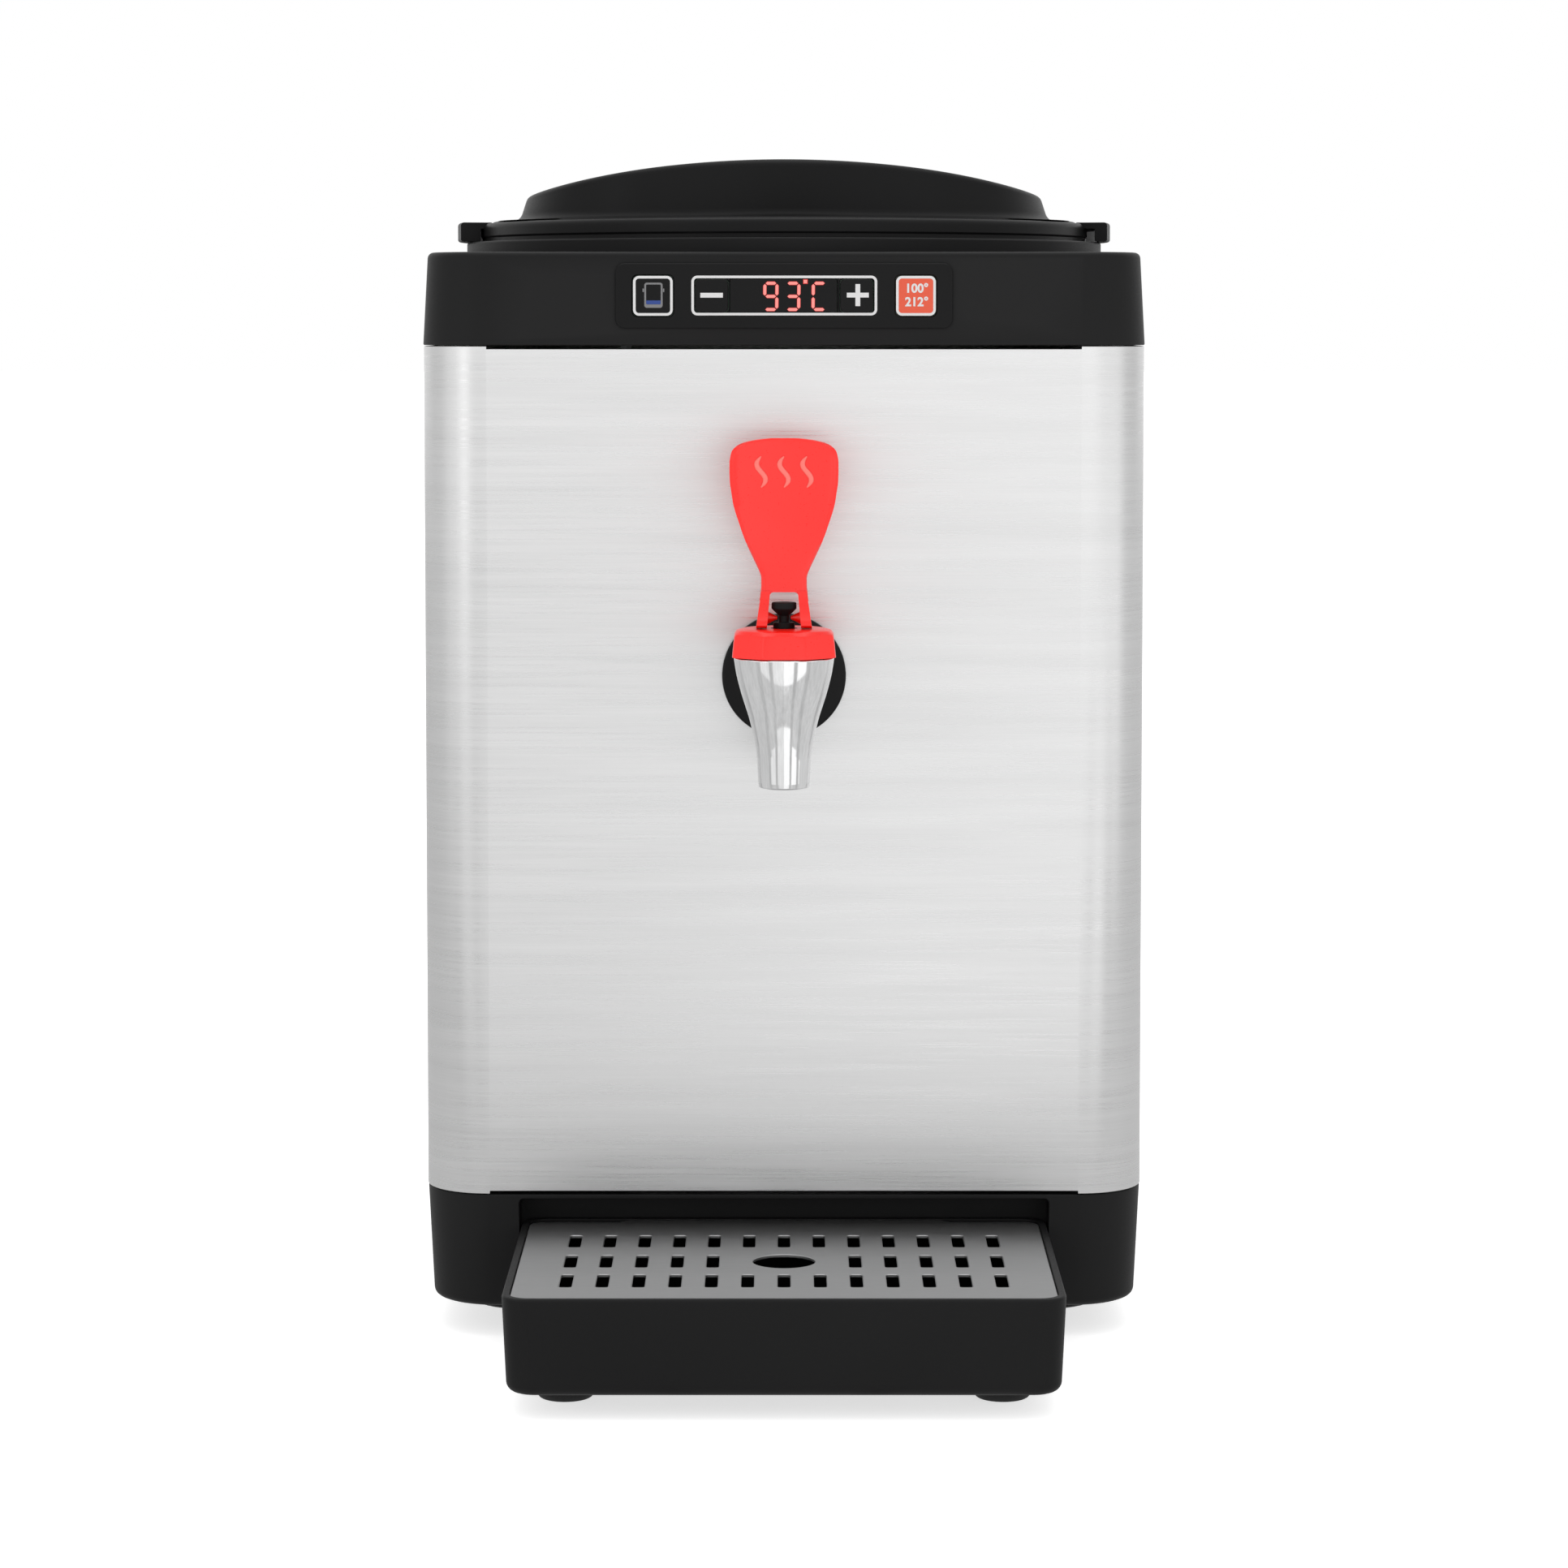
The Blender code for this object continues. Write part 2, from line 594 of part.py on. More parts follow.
def build_tank():
    bore = TANK_RADIUS - TANK_WALL
    profile = [(0, TANK_BOTTOM), (TANK_RADIUS, TANK_BOTTOM), (TANK_RADIUS, TANK_TOP - TANK_WALL),
               (FLANGE_RADIUS, TANK_TOP - TANK_WALL), (FLANGE_RADIUS, TANK_TOP), (bore, TANK_TOP),
               (bore, TANK_BOTTOM + TANK_WALL), (0, TANK_BOTTOM + TANK_WALL)]
    tank = turned("boiler_tank", profile, (0.0, BODY_Y), "polished_steel", steps=LARGE_ROUND)
    path = heater_path()
    floor_holes = [(*path[0][:2], HEATER_TUBE + 0.0006), (*path[-1][:2], HEATER_TUBE + 0.0006),
                   (*TEMPERATURE_PROBE, 0.0037), (*LEVEL_PROBE, 0.0031), (*DRAIN, 0.0040)]
    cuts = bmesh.new()
    for x, y, radius in floor_holes:
        hole = [(0, TANK_BOTTOM - 0.005), (radius, TANK_BOTTOM - 0.005), (radius, TANK_BOTTOM + 0.005),
                (0, TANK_BOTTOM + 0.005)]
        add_rings(cuts, turned_rings(hole, (x, y), 16, "Z"))
    outlet = [(0, -0.055), (SHANK_HOLE, -0.055), (SHANK_HOLE, -0.025), (0, -0.025)]
    add_rings(cuts, turned_rings(outlet, (0.0, TAP_AXIS_Z), SMALL_ROUND, "Y"))
    combine(tank, add_object("cut_tank_holes", cuts))


def build_tank_wrap():
    inner = TANK_RADIUS + 0.0004
    outer = 0.1075
    low, high = TANK_BOTTOM + 0.0006, 0.3785
    sleeve = [(inner, low), (outer, low), (outer, high), (inner, high)]
    wrap = turned("tank_insulation", sleeve, (0.0, BODY_Y), "foam", steps=LARGE_ROUND)
    hole = [(0, -0.055), (0.0150, -0.055), (0.0150, -0.025), (0, -0.025)]
    combine(wrap, turned("cut_insulation_hole", hole, (0.0, TAP_AXIS_Z), steps=SMALL_ROUND, along="Y"))
    gasket = [(MOUTH_RADIUS, TANK_TOP + GAP), (0.1055, TANK_TOP + GAP), (0.1055, HOUSING_TOP - WALL - GAP),
              (MOUTH_RADIUS, HOUSING_TOP - WALL - GAP)]
    turned("tank_gasket", gasket, (0.0, BODY_Y), "silicone", steps=LARGE_ROUND)


def build_tank_fittings():
    tube("heating_element", heater_path(), HEATER_TUBE, "zinc_steel", 1)
    under = TANK_BOTTOM - GAP
    probe = [(0, 0.208), (0.0060, 0.208), (0.0060, under), (0.0031, under), (0.0031, 0.2440), (0.0018, 0.2455),
             (0, 0.2455)]
    turned("temperature_probe", probe, TEMPERATURE_PROBE, "zinc_steel", steps=16)
    rod = [(0, 0.208), (0.0065, 0.208), (0.0065, under), (0.0025, under), (0.0025, 0.3590), (0.0015, 0.3600),
           (0, 0.3600)]
    turned("level_probe", rod, LEVEL_PROBE, "zinc_steel", steps=16)
    disc = [(0, 0.213), (0.0085, 0.213), (0.0085, 0.218), (0.0120, 0.218), (0.0120, under), (0, under)]
    turned("dry_boil_thermostat", disc, THERMOSTAT, "zinc_steel", steps=20)
    drain_top = TANK_BOTTOM - GAP
    route = [(*DRAIN, drain_top), (*DRAIN, 0.160), (*DRAIN, 0.085), (-0.024, 0.125, 0.046),
             (-0.006, 0.150, PORT_Z + 0.001), (0.0, 0.164, PORT_Z), (0.0, 0.1755, PORT_Z)]
    tube("drain_pipe", smooth_path(route, 3), 0.005, "silicone", 1)
    plug = [(0, 0.1760), (0.0050, 0.1760), (0.0064, 0.1775), (0.0064, REAR_Y - 0.0025), (0.0045, REAR_Y - 0.0025),
            (0.0038, REAR_Y - 0.0055), (0, REAR_Y - 0.0055)]
    turned("drain_plug", plug, (0.0, PORT_Z), "black_plastic", steps=20, along="Y")


def build_chassis():
    """Bridge of folded sheet that carries the tank, open below the tank's fittings."""
    thick = 0.0015
    foot = BASE_BOTTOM + WALL + GAP
    inside = CHASSIS_HALF - thick
    section = [(-CHASSIS_HALF, foot), (-CHASSIS_HALF, CHASSIS_TOP), (CHASSIS_HALF, CHASSIS_TOP),
               (CHASSIS_HALF, foot), (inside, foot), (inside, CHASSIS_TOP - thick),
               (-inside, CHASSIS_TOP - thick), (-inside, foot)]
    rings = [[(x, y, z) for x, z in section] for y in (-0.040, 0.158)]
    chassis = ring_body("chassis_frame", rings, "zinc_steel")
    hole = [(0, CHASSIS_TOP - 0.01), (0.075, CHASSIS_TOP - 0.01), (0.075, CHASSIS_TOP + 0.01),
            (0, CHASSIS_TOP + 0.01)]
    combine(chassis, turned("cut_chassis_hole", hole, (0.0, BODY_Y), steps=LARGE_ROUND))


def build_control_board():
    """Power board on four pillars, with its transformer, relays and heat sink."""
    low, high = 0.030, 0.0316
    middle_x, middle_y = 0.030, 0.045
    half_x, half_y = 0.055, 0.045
    bm = bmesh.new()
    add_box(bm, (middle_x - half_x, middle_x + half_x), (middle_y - half_y, middle_y + half_y), (low, high))
    board = add_object("control_board", bm, "board_green")
    blocks = [("transformer", 0.000, 0.030, 0.017, 0.014, 0.022), ("relay", 0.045, 0.020, 0.010, 0.008, 0.016),
              ("terminal", 0.040, 0.078, 0.022, 0.006, 0.012), ("heat_sink", 0.078, 0.050, 0.004, 0.024, 0.020)]
    for label, x, y, hx, hy, tall in blocks:
        part = box("join_" + label, (x - hx, x + hx), (y - hy, y + hy), (high - 0.0006, high + tall))
        combine(board, part, "UNION")
    for k, (sx, sy) in enumerate(((-1, -1), (1, -1), (1, 1), (-1, 1))):
        place = (middle_x + sx * (half_x - 0.005), middle_y + sy * (half_y - 0.005))
        pillar = [(0, BASE_BOTTOM), (0.003, BASE_BOTTOM), (0.003, low + 0.0005), (0, low + 0.0005)]
        combine(board, turned("join_pillar_%d" % k, pillar, place, steps=8), "UNION")


def build_cables():
    display = [(-0.029, 0.040, 0.0308), (-0.050, 0.010, 0.040), (-0.060, -0.035, 0.070), (-0.060, -0.054, 0.120),
               (-0.060, -0.056, 0.200), (-0.060, -0.056, 0.300), (-0.058, -0.056, 0.352), (-0.050, -0.057, 0.372),
               (-0.042, -0.0605, 0.3755)]
    tube("display_cable", smooth_path(display, 3), 0.0022, "cable_grey", 1)
    heater = [(0.040, 0.078, 0.0450), (0.036, 0.084, 0.090), (0.024, 0.100, 0.150), (0.0120, 0.110, 0.180),
              (0.0092, 0.1142, 0.1960), (0.0092, 0.1142, 0.2050)]
    tube("heater_cable", smooth_path(heater, 3), 0.003, "cable_grey", 1)
    mains = [(INLET_X, 0.1600, PORT_Z), (-0.043, 0.140, 0.034), (-0.030, 0.112, 0.046), (-0.005, 0.098, 0.050),
             (0.022, 0.092, 0.048), (0.030, 0.0870, 0.040)]
    tube("mains_cable", smooth_path(mains, 3), 0.0035, "cable_grey", 1)


def build_power_inlet():
    """Mains inlet: a deep rectangular socket with three pins."""
    face = PORT_FACE_Y
    back = face - 0.0245
    floor = face - 0.018
    inlet = box("power_inlet", (INLET_X - INLET_HALF_X, INLET_X + INLET_HALF_X), (back, face),
                (PORT_Z - INLET_HALF_Z, PORT_Z + INLET_HALF_Z), "black_plastic")
    socket = box("cut_inlet_socket", (INLET_X - 0.012, INLET_X + 0.012), (floor, face + 0.01),
                 (PORT_Z - 0.008, PORT_Z + 0.008))
    combine(inlet, socket)
    for k, (dx, dz) in enumerate(((-0.007, -0.002), (0.0, 0.002), (0.007, -0.002))):
        pin = box("join_inlet_pin_%d" % k, (INLET_X + dx - 0.001, INLET_X + dx + 0.001),
                  (floor - 0.002, floor + 0.0115), (PORT_Z + dz - 0.002, PORT_Z + dz + 0.002))
        combine(inlet, pin, "UNION")


def build_power_switch():
    """Rocker switch in a frame; the rocker turns about an axis along X."""
    face = PORT_FACE_Y
    pivot_y = face - 0.0040
    frame = box("switch_frame", (SWITCH_X - SWITCH_HALF_X, SWITCH_X + SWITCH_HALF_X), (face - 0.016, face),
                (PORT_Z - SWITCH_HALF_Z, PORT_Z + SWITCH_HALF_Z), "black_plastic")
    well = box("cut_switch_well", (SWITCH_X - 0.0058, SWITCH_X + 0.0058), (face - 0.0125, face + 0.01),
               (PORT_Z - 0.0093, PORT_Z + 0.0093))
    combine(frame, well)
    tilt = radians(-7)
    half, front, dip = 0.0082, 0.0038, 0.0010
    side_view = [(-0.0030, -half * 0.55), (front * 0.2, -half), (front, -half), (front - dip, 0.0), (front, half),
                 (front * 0.2, half), (-0.0030, half * 0.55)]
    rings = []
    for x in (SWITCH_X - 0.0053, SWITCH_X + 0.0053):
        ring = []
        for dy, dz in side_view:
            ring.append((x, pivot_y + dy * cos(tilt) - dz * sin(tilt),
                         PORT_Z + dy * sin(tilt) + dz * cos(tilt)))
        rings.append(ring)
    ring_body("power_switch", rings, "black_plastic", origin=(SWITCH_X, pivot_y, PORT_Z))


# ---- Control panel --------------------------------------------------------
def build_control_panel():
    panel = upright_plate("control_panel", PANEL_HALF_X, PANEL_HALF_Z, (0.0, PANEL_Z),
                          (PANEL_FRONT_Y, FACE_Y - GAP), 0.0035, "gloss_black")
    depth = (PANEL_FRONT_Y - 0.01, FACE_Y + 0.01)
    for name, x, half, _ in KEYS:
        half_z = FRAME_HALF if half == FRAME_HALF else KEY_HALF_Z
        cut = upright_plate("cut_" + name, half + GAP, half_z + GAP, (x, PANEL_Z), depth, 0.0018, steps=2)
        combine(panel, cut)
    window = upright_plate("cut_window", WINDOW_HALF + GAP, KEY_HALF_Z + GAP, (WINDOW_X, PANEL_Z), depth,
                           0.0008, steps=1)
    combine(panel, window)
    for name, x, half, finish in KEYS:
        half_z = FRAME_HALF if half == FRAME_HALF else KEY_HALF_Z
        upright_plate(name, half, half_z, (x, PANEL_Z), (KEY_FRONT_Y, KEY_BACK_Y), 0.0015, finish, steps=2,
                      origin=(x, KEY_FRONT_Y, PANEL_Z))
    upright_plate("display_window", WINDOW_HALF, KEY_HALF_Z, (WINDOW_X, PANEL_Z),
                  (PANEL_FRONT_Y, FACE_Y + 0.0018), 0.0005, "gloss_black", steps=1)


def build_display_board():
    """Board behind the panel, with a display block and one small switch behind each key."""
    board = box("display_board", (-0.0570, 0.0570), (BOARD_Y, BOARD_Y + 0.0016),
                (PANEL_Z - 0.0095, PANEL_Z + 0.0095), "board_green")
    block = box("join_display_block", (-0.0175, 0.0175), (FACE_Y + 0.0021, BOARD_Y + 0.0005),
                (PANEL_Z - 0.0055, PANEL_Z + 0.0055))
    combine(board, block, "UNION")
    for name, x, _, _ in KEYS:
        button = box("join_switch_" + name, (x - 0.003, x + 0.003), (KEY_BACK_Y + 0.0008, BOARD_Y + 0.0005),
                     (PANEL_Z - 0.003, PANEL_Z + 0.003))
        combine(board, button, "UNION")


# ---- Tap ------------------------------------------------------------------
def build_tap_mounting():
    flange = [(SHANK_HOLE, FLANGE_BACK_Y), (0.0221, FLANGE_BACK_Y), (0.0221, FLANGE_FRONT_Y + 0.0012),
              (0.0213, FLANGE_FRONT_Y), (SHANK_HOLE, FLANGE_FRONT_Y)]
    turned("tap_flange", flange, (0.0, TAP_AXIS_Z), "black_plastic", steps=SMALL_ROUND, along="Y")
    start = FLANGE_FRONT_Y - 0.0001
    shank = [(SHANK_BORE, start), (SHANK_RADIUS, start), (SHANK_RADIUS, -0.030), (SHANK_BORE, -0.030)]
    turned("tap_shank", shank, (0.0, TAP_AXIS_Z), "zinc_steel", steps=SMALL_ROUND, along="Y")
    back = FRONT_Y + SHEET + GAP
    nut = [(SHANK_HOLE, back), (0.0135, back), (0.0135, back + 0.006), (SHANK_HOLE, back + 0.006)]
    nut_rings = turned_rings(nut, (0.0, TAP_AXIS_Z), SMALL_ROUND, "Y")
    for index in (1, 2):
        nut_rings[index] = hexagon_ring(nut[index][1], 0.0115)
    ring_body("shank_nut", nut_rings, "zinc_steel", wrap=True)
    seal = [(SHANK_HOLE, -0.0448), (0.0135, -0.0448), (0.0135, -0.0394), (SHANK_HOLE, -0.0394)]
    turned("outlet_seal", seal, (0.0, TAP_AXIS_Z), "silicone", steps=SMALL_ROUND, along="Y")


def hexagon_ring(y, flat):
    """Ring of 24 points on a hexagon that stands across the front."""
    ring = []
    for k in range(24):
        angle = 2 * pi * k / 24
        from_flat = (angle + pi / 6) % (pi / 3) - pi / 6
        radius = flat / cos(from_flat)
        ring.append((radius * cos(angle), y, TAP_AXIS_Z + radius * sin(angle)))
    return ring


def build_tap_body():
    """Turned tap with a seat inside, and the neck that leads back to the flange."""
    outside = [(0.0074, 0.2059), (0.0089, 0.2080), (0.0094, 0.2170), (0.0099, 0.2206), (0.0108, 0.2240),
               (0.0117, 0.2294), (0.0146, 0.2383), (0.0173, TAP_TOP)]
    inside = [(0.0135, TAP_TOP), (0.0118, 0.2420), (0.0092, 0.2350), (0.0092, 0.2310), (0.0055, 0.2310),
              (0.0055, 0.2280), (0.0063, 0.2250), (0.0063, 0.2059)]
    body = turned("tap_body", outside + inside, (0.0, TAP_Y), "polished_steel", steps=SMALL_ROUND)
    neck_end = FLANGE_FRONT_Y - 0.0004
    neck = [(0, TAP_Y + 0.0125), (0.0098, TAP_Y + 0.0125), (0.0098, neck_end), (0, neck_end)]
    neck_object = turned("join_neck", neck, (0.0, TAP_AXIS_Z), steps=SMALL_ROUND, along="Y")
    combine(body, neck_object, "UNION")
    bore = [(0, TAP_Y), (SHANK_BORE, TAP_Y), (SHANK_BORE, neck_end + 0.005), (0, neck_end + 0.005)]
    combine(body, turned("cut_tap_bore", bore, (0.0, TAP_AXIS_Z), steps=16, along="Y"))


def build_tap_top():
    bonnet = [(0.0179, TAP_TOP + GAP), (0.0174, 0.2570), (0.0171, 0.2588), (0.0155, 0.2604), (0.0132, BONNET_TOP),
              (0.0046, BONNET_TOP), (0.0046, 0.2588), (0.0140, 0.2588), (0.0140, TAP_TOP + GAP)]
    turned("tap_bonnet", bonnet, (0.0, TAP_Y), "red_plastic", steps=SMALL_ROUND)
    stem = [(0, 0.2353), (0.0037, 0.2353), (0.0037, 0.2632), (0.00185, 0.2632), (0.00185, 0.2655),
            (0.0043, 0.2679), (0.0043, 0.2698), (0.0040, 0.2701), (0, 0.2701)]
    turned("tap_stem", stem, (0.0, TAP_Y), "black_plastic", steps=16)
    cup = [(0, 0.2313), (0.0060, 0.2313), (0.0075, 0.2330), (0.0075, 0.2385), (0.0040, 0.2385), (0.0040, 0.2350),
           (0, 0.2350)]
    turned("tap_seat_cup", cup, (0.0, TAP_Y), "black_rubber", steps=16)
    coils, per_coil, radius = 4, 10, 0.0058
    low, high = 0.2385 + 0.0009, 0.2588 - 0.0009
    helix = []
    for k in range(coils * per_coil + 1):
        angle = 2 * pi * k / per_coil
        helix.append((radius * cos(angle), TAP_Y + radius * sin(angle),
                      low + (high - low) * k / (coils * per_coil)))
    tube("tap_spring", helix, 0.0005, "zinc_steel", 0)


def cam_points(steps=5):
    """Foot of the lever: a cam that lifts the stem in proportion to the swing."""
    rest = PIVOT_Z - BONNET_TOP - GAP
    rate = STEM_LIFT / LEVER_SWING
    points = []
    for k in range(steps, -1, -1):
        turn = LEVER_SWING * k / steps
        reach = rest + rate * turn
        points.append((-reach * sin(turn) - rate * cos(turn), -reach * cos(turn) + rate * sin(turn)))
    return points


def lever_half_width(z):
    """Half width of the lever's blade, from its neck to its broad top."""
    stations = [(0.2725, 0.0079), (0.2790, 0.0079), (0.2870, 0.0114), (0.2940, 0.0143), (0.3040, 0.0174),
                (0.3150, 0.0186), (0.3215, 0.0181), (0.3245, 0.0155), (0.3260, 0.0110), (LEVER_TOP, 0.0060)]
    for (z0, w0), (z1, w1) in zip(stations, stations[1:]):
        if z <= z1:
            return w0 + (w1 - w0) * (z - z0) / (z1 - z0)
    return stations[-1][1]


def lever_depth(z):
    """How far the middle of the blade is from the tap's axis: back at the neck, then forward."""
    t = min(1.0, max(0.0, (z - 0.279) / (0.3268 - 0.279)))
    return 0.0006 - 0.0082 * t * t * (3 - 2 * t)


def build_lever():
    """Red lever: a blade on two legs, with cams at the foot and pins into the stem's groove."""
    rings = []
    for z in (0.2725, 0.2790, 0.2830, 0.2870, 0.2940, 0.3040, 0.3150, 0.3215, 0.3245, 0.3260, LEVER_TOP):
        half = lever_half_width(z)
        thick = 0.0021 if z < 0.326 else 0.0012
        bevel = 0.0007
        outline = rounded(half, -thick, thick, bevel, 1)
        rings.append([(x, TAP_Y + lever_depth(z) + y, z) for x, y in outline])
    lever = ring_body("tap_lever", rings, "red_plastic", origin=(0.0, TAP_Y, PIVOT_Z))
    side_view = [(-0.0020, 0.0092), (-0.0028, 0.0040), (-0.0072, -0.0004)] + cam_points()
    rest = PIVOT_Z - BONNET_TOP - GAP
    side_view += [(0.0026, -rest), (0.0034, -0.0022), (0.0027, 0.0040), (0.0025, 0.0092)]
    for name, side in (("left", -1), ("right", 1)):
        rings = []
        for x_top, x_foot in ((0.00475, 0.00585), (0.00785, 0.0096)):
            ring = []
            for dy, dz in side_view:
                drop = (0.0085 - dz) / 0.0118
                ring.append((side * (x_top + (x_foot - x_top) * drop), TAP_Y + dy, PIVOT_Z + dz))
            rings.append(ring)
        combine(lever, ring_body("join_leg_" + name, rings), "UNION")
        pin = [(0, side * 0.0023), (0.0006, side * 0.0023), (0.0018, side * 0.0053), (0.0018, side * 0.0065),
               (0, side * 0.0065)]
        combine(lever, turned("join_pin_" + name, pin, (TAP_Y, PIVOT_Z), steps=12, along="X"), "UNION")


# ---- Drip tray ------------------------------------------------------------
def build_tray():
    def outline(inset, radius, draft=0.0):
        front = TRAY_FRONT_Y + inset + draft
        return rounded(TRAY_HALF - inset - draft, front, TRAY_BACK_Y - inset, radius, 4)

    ledge = TRAY_RIM + 0.0025
    rest = GRID_TOP - GRID_THICK - GAP
    rings = [at_height(outline(ledge, 0.004, TRAY_DRAFT), TRAY_BOTTOM + WALL),
             at_height(outline(ledge, 0.004), rest),
             at_height(outline(TRAY_RIM, 0.0055), rest),
             at_height(outline(TRAY_RIM, 0.0055), TRAY_TOP),
             at_height(outline(0.0, 0.008), TRAY_TOP),
             at_height(outline(0.0, 0.008, TRAY_DRAFT), TRAY_BOTTOM + 0.0042),
             at_height(outline(0.0012, 0.008, TRAY_DRAFT), TRAY_BOTTOM + 0.0014),
             at_height(outline(0.0040, 0.007, TRAY_DRAFT), TRAY_BOTTOM)]
    ring_body("drip_tray", rings, "black_plastic")
    height = TRAY_BOTTOM - GAP
    foot = [(0, height), (0.0098, height), (0.0098, 0.0012), (0.0088, 0), (0, 0)]
    for name, side in (("left", -1), ("right", 1)):
        turned("tray_foot_" + name, foot, (side * TRAY_FOOT[0], TRAY_FOOT[1]), "black_rubber", steps=16)


def grid_outline():
    """Rounded rectangle with a low tongue along the middle of its back edge."""
    points = rounded(GRID_HALF, GRID_FRONT_Y, GRID_BACK_Y, 0.005, 3)
    slope = TONGUE_HALF - (TONGUE_Y - GRID_BACK_Y)
    tongue = [(TONGUE_HALF, GRID_BACK_Y), (slope, TONGUE_Y), (-slope, TONGUE_Y), (-TONGUE_HALF, GRID_BACK_Y)]
    return points[:4] + tongue + points[4:]


def build_grid():
    outline = grid_outline()
    rings = [at_height(outline, GRID_TOP - GRID_THICK), at_height(outline, GRID_TOP)]
    grid = ring_body("drip_grid", rings, "brushed_steel", origin=(0.0, TONGUE_Y, GRID_TOP))
    cuts = bmesh.new()
    low, high = GRID_TOP - GRID_THICK - 0.002, GRID_TOP + 0.002
    for row, y in enumerate(SLOT_ROWS):
        for k in range(-6, 7):
            if row == 1 and abs(k) < 2:
                continue
            x = SLOT_PITCH * k
            add_box(cuts, (x - SLOT_WIDTH / 2, x + SLOT_WIDTH / 2),
                    (y - SLOT_LENGTH / 2, y + SLOT_LENGTH / 2), (low, high))
    hole = [(0, low), (GRID_HOLE_RADIUS, low), (GRID_HOLE_RADIUS, high), (0, high)]
    add_rings(cuts, turned_rings(hole, (0.0, TAP_Y), SMALL_ROUND, "Z"))
    combine(grid, add_object("cut_grid_slots", cuts))


def main():
    clear_scene()
    build_jacket()
    build_rear_panel()
    build_rear_screws()
    build_upper_housing()
    build_base_housing()
    build_base_plate()
    build_feet()
    build_lid()
    build_tank()
    build_tank_wrap()
    build_tank_fittings()
    build_chassis()
    build_control_board()
    build_cables()
    build_power_inlet()
    build_power_switch()
    build_control_panel()
    build_display_board()
    build_tap_mounting()
    build_tap_body()
    build_tap_top()
    build_lever()
    build_tray()
    build_grid()


main()
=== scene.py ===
"""Looks of the countertop water dispenser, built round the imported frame."""
import cmath
import json
from math import acos, atan, cos, exp, pi, radians, sin, sqrt, tan

import bmesh
import bpy
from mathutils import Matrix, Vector


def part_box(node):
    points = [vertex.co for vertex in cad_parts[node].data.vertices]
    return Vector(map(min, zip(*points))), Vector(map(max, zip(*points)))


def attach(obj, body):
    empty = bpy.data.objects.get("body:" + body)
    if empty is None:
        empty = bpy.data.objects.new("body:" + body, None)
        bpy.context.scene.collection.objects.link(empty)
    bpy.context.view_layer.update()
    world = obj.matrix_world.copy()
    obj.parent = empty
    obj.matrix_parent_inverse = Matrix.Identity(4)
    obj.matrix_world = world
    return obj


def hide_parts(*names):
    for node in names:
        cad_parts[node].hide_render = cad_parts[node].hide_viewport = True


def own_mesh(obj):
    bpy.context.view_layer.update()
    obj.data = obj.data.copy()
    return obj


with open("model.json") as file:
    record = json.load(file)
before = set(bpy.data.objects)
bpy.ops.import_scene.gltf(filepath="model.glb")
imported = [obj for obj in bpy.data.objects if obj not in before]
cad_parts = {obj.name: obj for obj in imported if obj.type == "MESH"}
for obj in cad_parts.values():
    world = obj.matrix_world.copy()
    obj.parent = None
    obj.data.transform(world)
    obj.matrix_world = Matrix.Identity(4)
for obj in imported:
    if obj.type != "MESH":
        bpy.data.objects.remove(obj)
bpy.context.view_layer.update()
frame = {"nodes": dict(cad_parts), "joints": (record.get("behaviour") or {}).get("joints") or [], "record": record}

# ---- Dimensions, in metres ------------------------------------------------
JACKET_LOW, JACKET_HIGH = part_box("steel_jacket")
HOUSING_LOW, HOUSING_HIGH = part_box("upper_housing")
BASE_LOW, BASE_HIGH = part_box("base_housing")
LID_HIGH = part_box("lid_shell")[1]
PANEL_LOW, PANEL_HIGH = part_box("control_panel")
TRAY_LOW, TRAY_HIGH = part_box("drip_tray")
GRID_LOW, GRID_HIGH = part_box("drip_grid")
REAR_LOW, REAR_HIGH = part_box("rear_panel")
FLANGE_LOW, FLANGE_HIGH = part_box("tap_flange")
BONNET_LOW, BONNET_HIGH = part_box("tap_bonnet")
JOINTS = {joint["name"]: joint for joint in frame["joints"]}
TAP_Y, PIVOT_Z = JOINTS["lever_tilt"]["pos_m"][1:]

BODY_HALF = JACKET_HIGH.x
FRONT_Y = JACKET_LOW.y
BODY_Y = FRONT_Y + BODY_HALF
REAR_Y = BODY_Y + BODY_HALF
CORNER = 0.024
GAP = 0.0003
SHEET = 0.001
WALL = 0.003
MOUTH_RADIUS = 0.100
COLLAR_BORE = 0.118
COLLAR_RADIUS = 0.1218
HOUSING_TOP = 0.391
LID_RADIUS = 0.1165
LID_TOP = 0.4041
EAR_RADIUS = LID_HIGH.x
DOME = (0.100, 0.080, 0.056)        # half width, half depth and plan corner of the dome
ARCH_RADIUS = 0.400
RECESS_HALF = 0.0955
RECESS_Y = -0.057
RECESS_TOP = 0.0508
PANEL_Z = (PANEL_LOW.z + PANEL_HIGH.z) / 2
KEY_FRONT_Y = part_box("key_plus")[0].y
PORT_Z = 0.032
TAP_AXIS_Z = (FLANGE_LOW.z + FLANGE_HIGH.z) / 2
SHANK_RADIUS = 0.0083               # of the hole through the jacket and the flange
STEM_LIFT = 0.003                   # how far the stem rises as the lever tips
BONNET_CEILING = 0.2588             # the spring's upper seat
SPRING_SEAT = 0.2385
FINGER_HOLE = 0.0108                # radius of the round hole in the grid


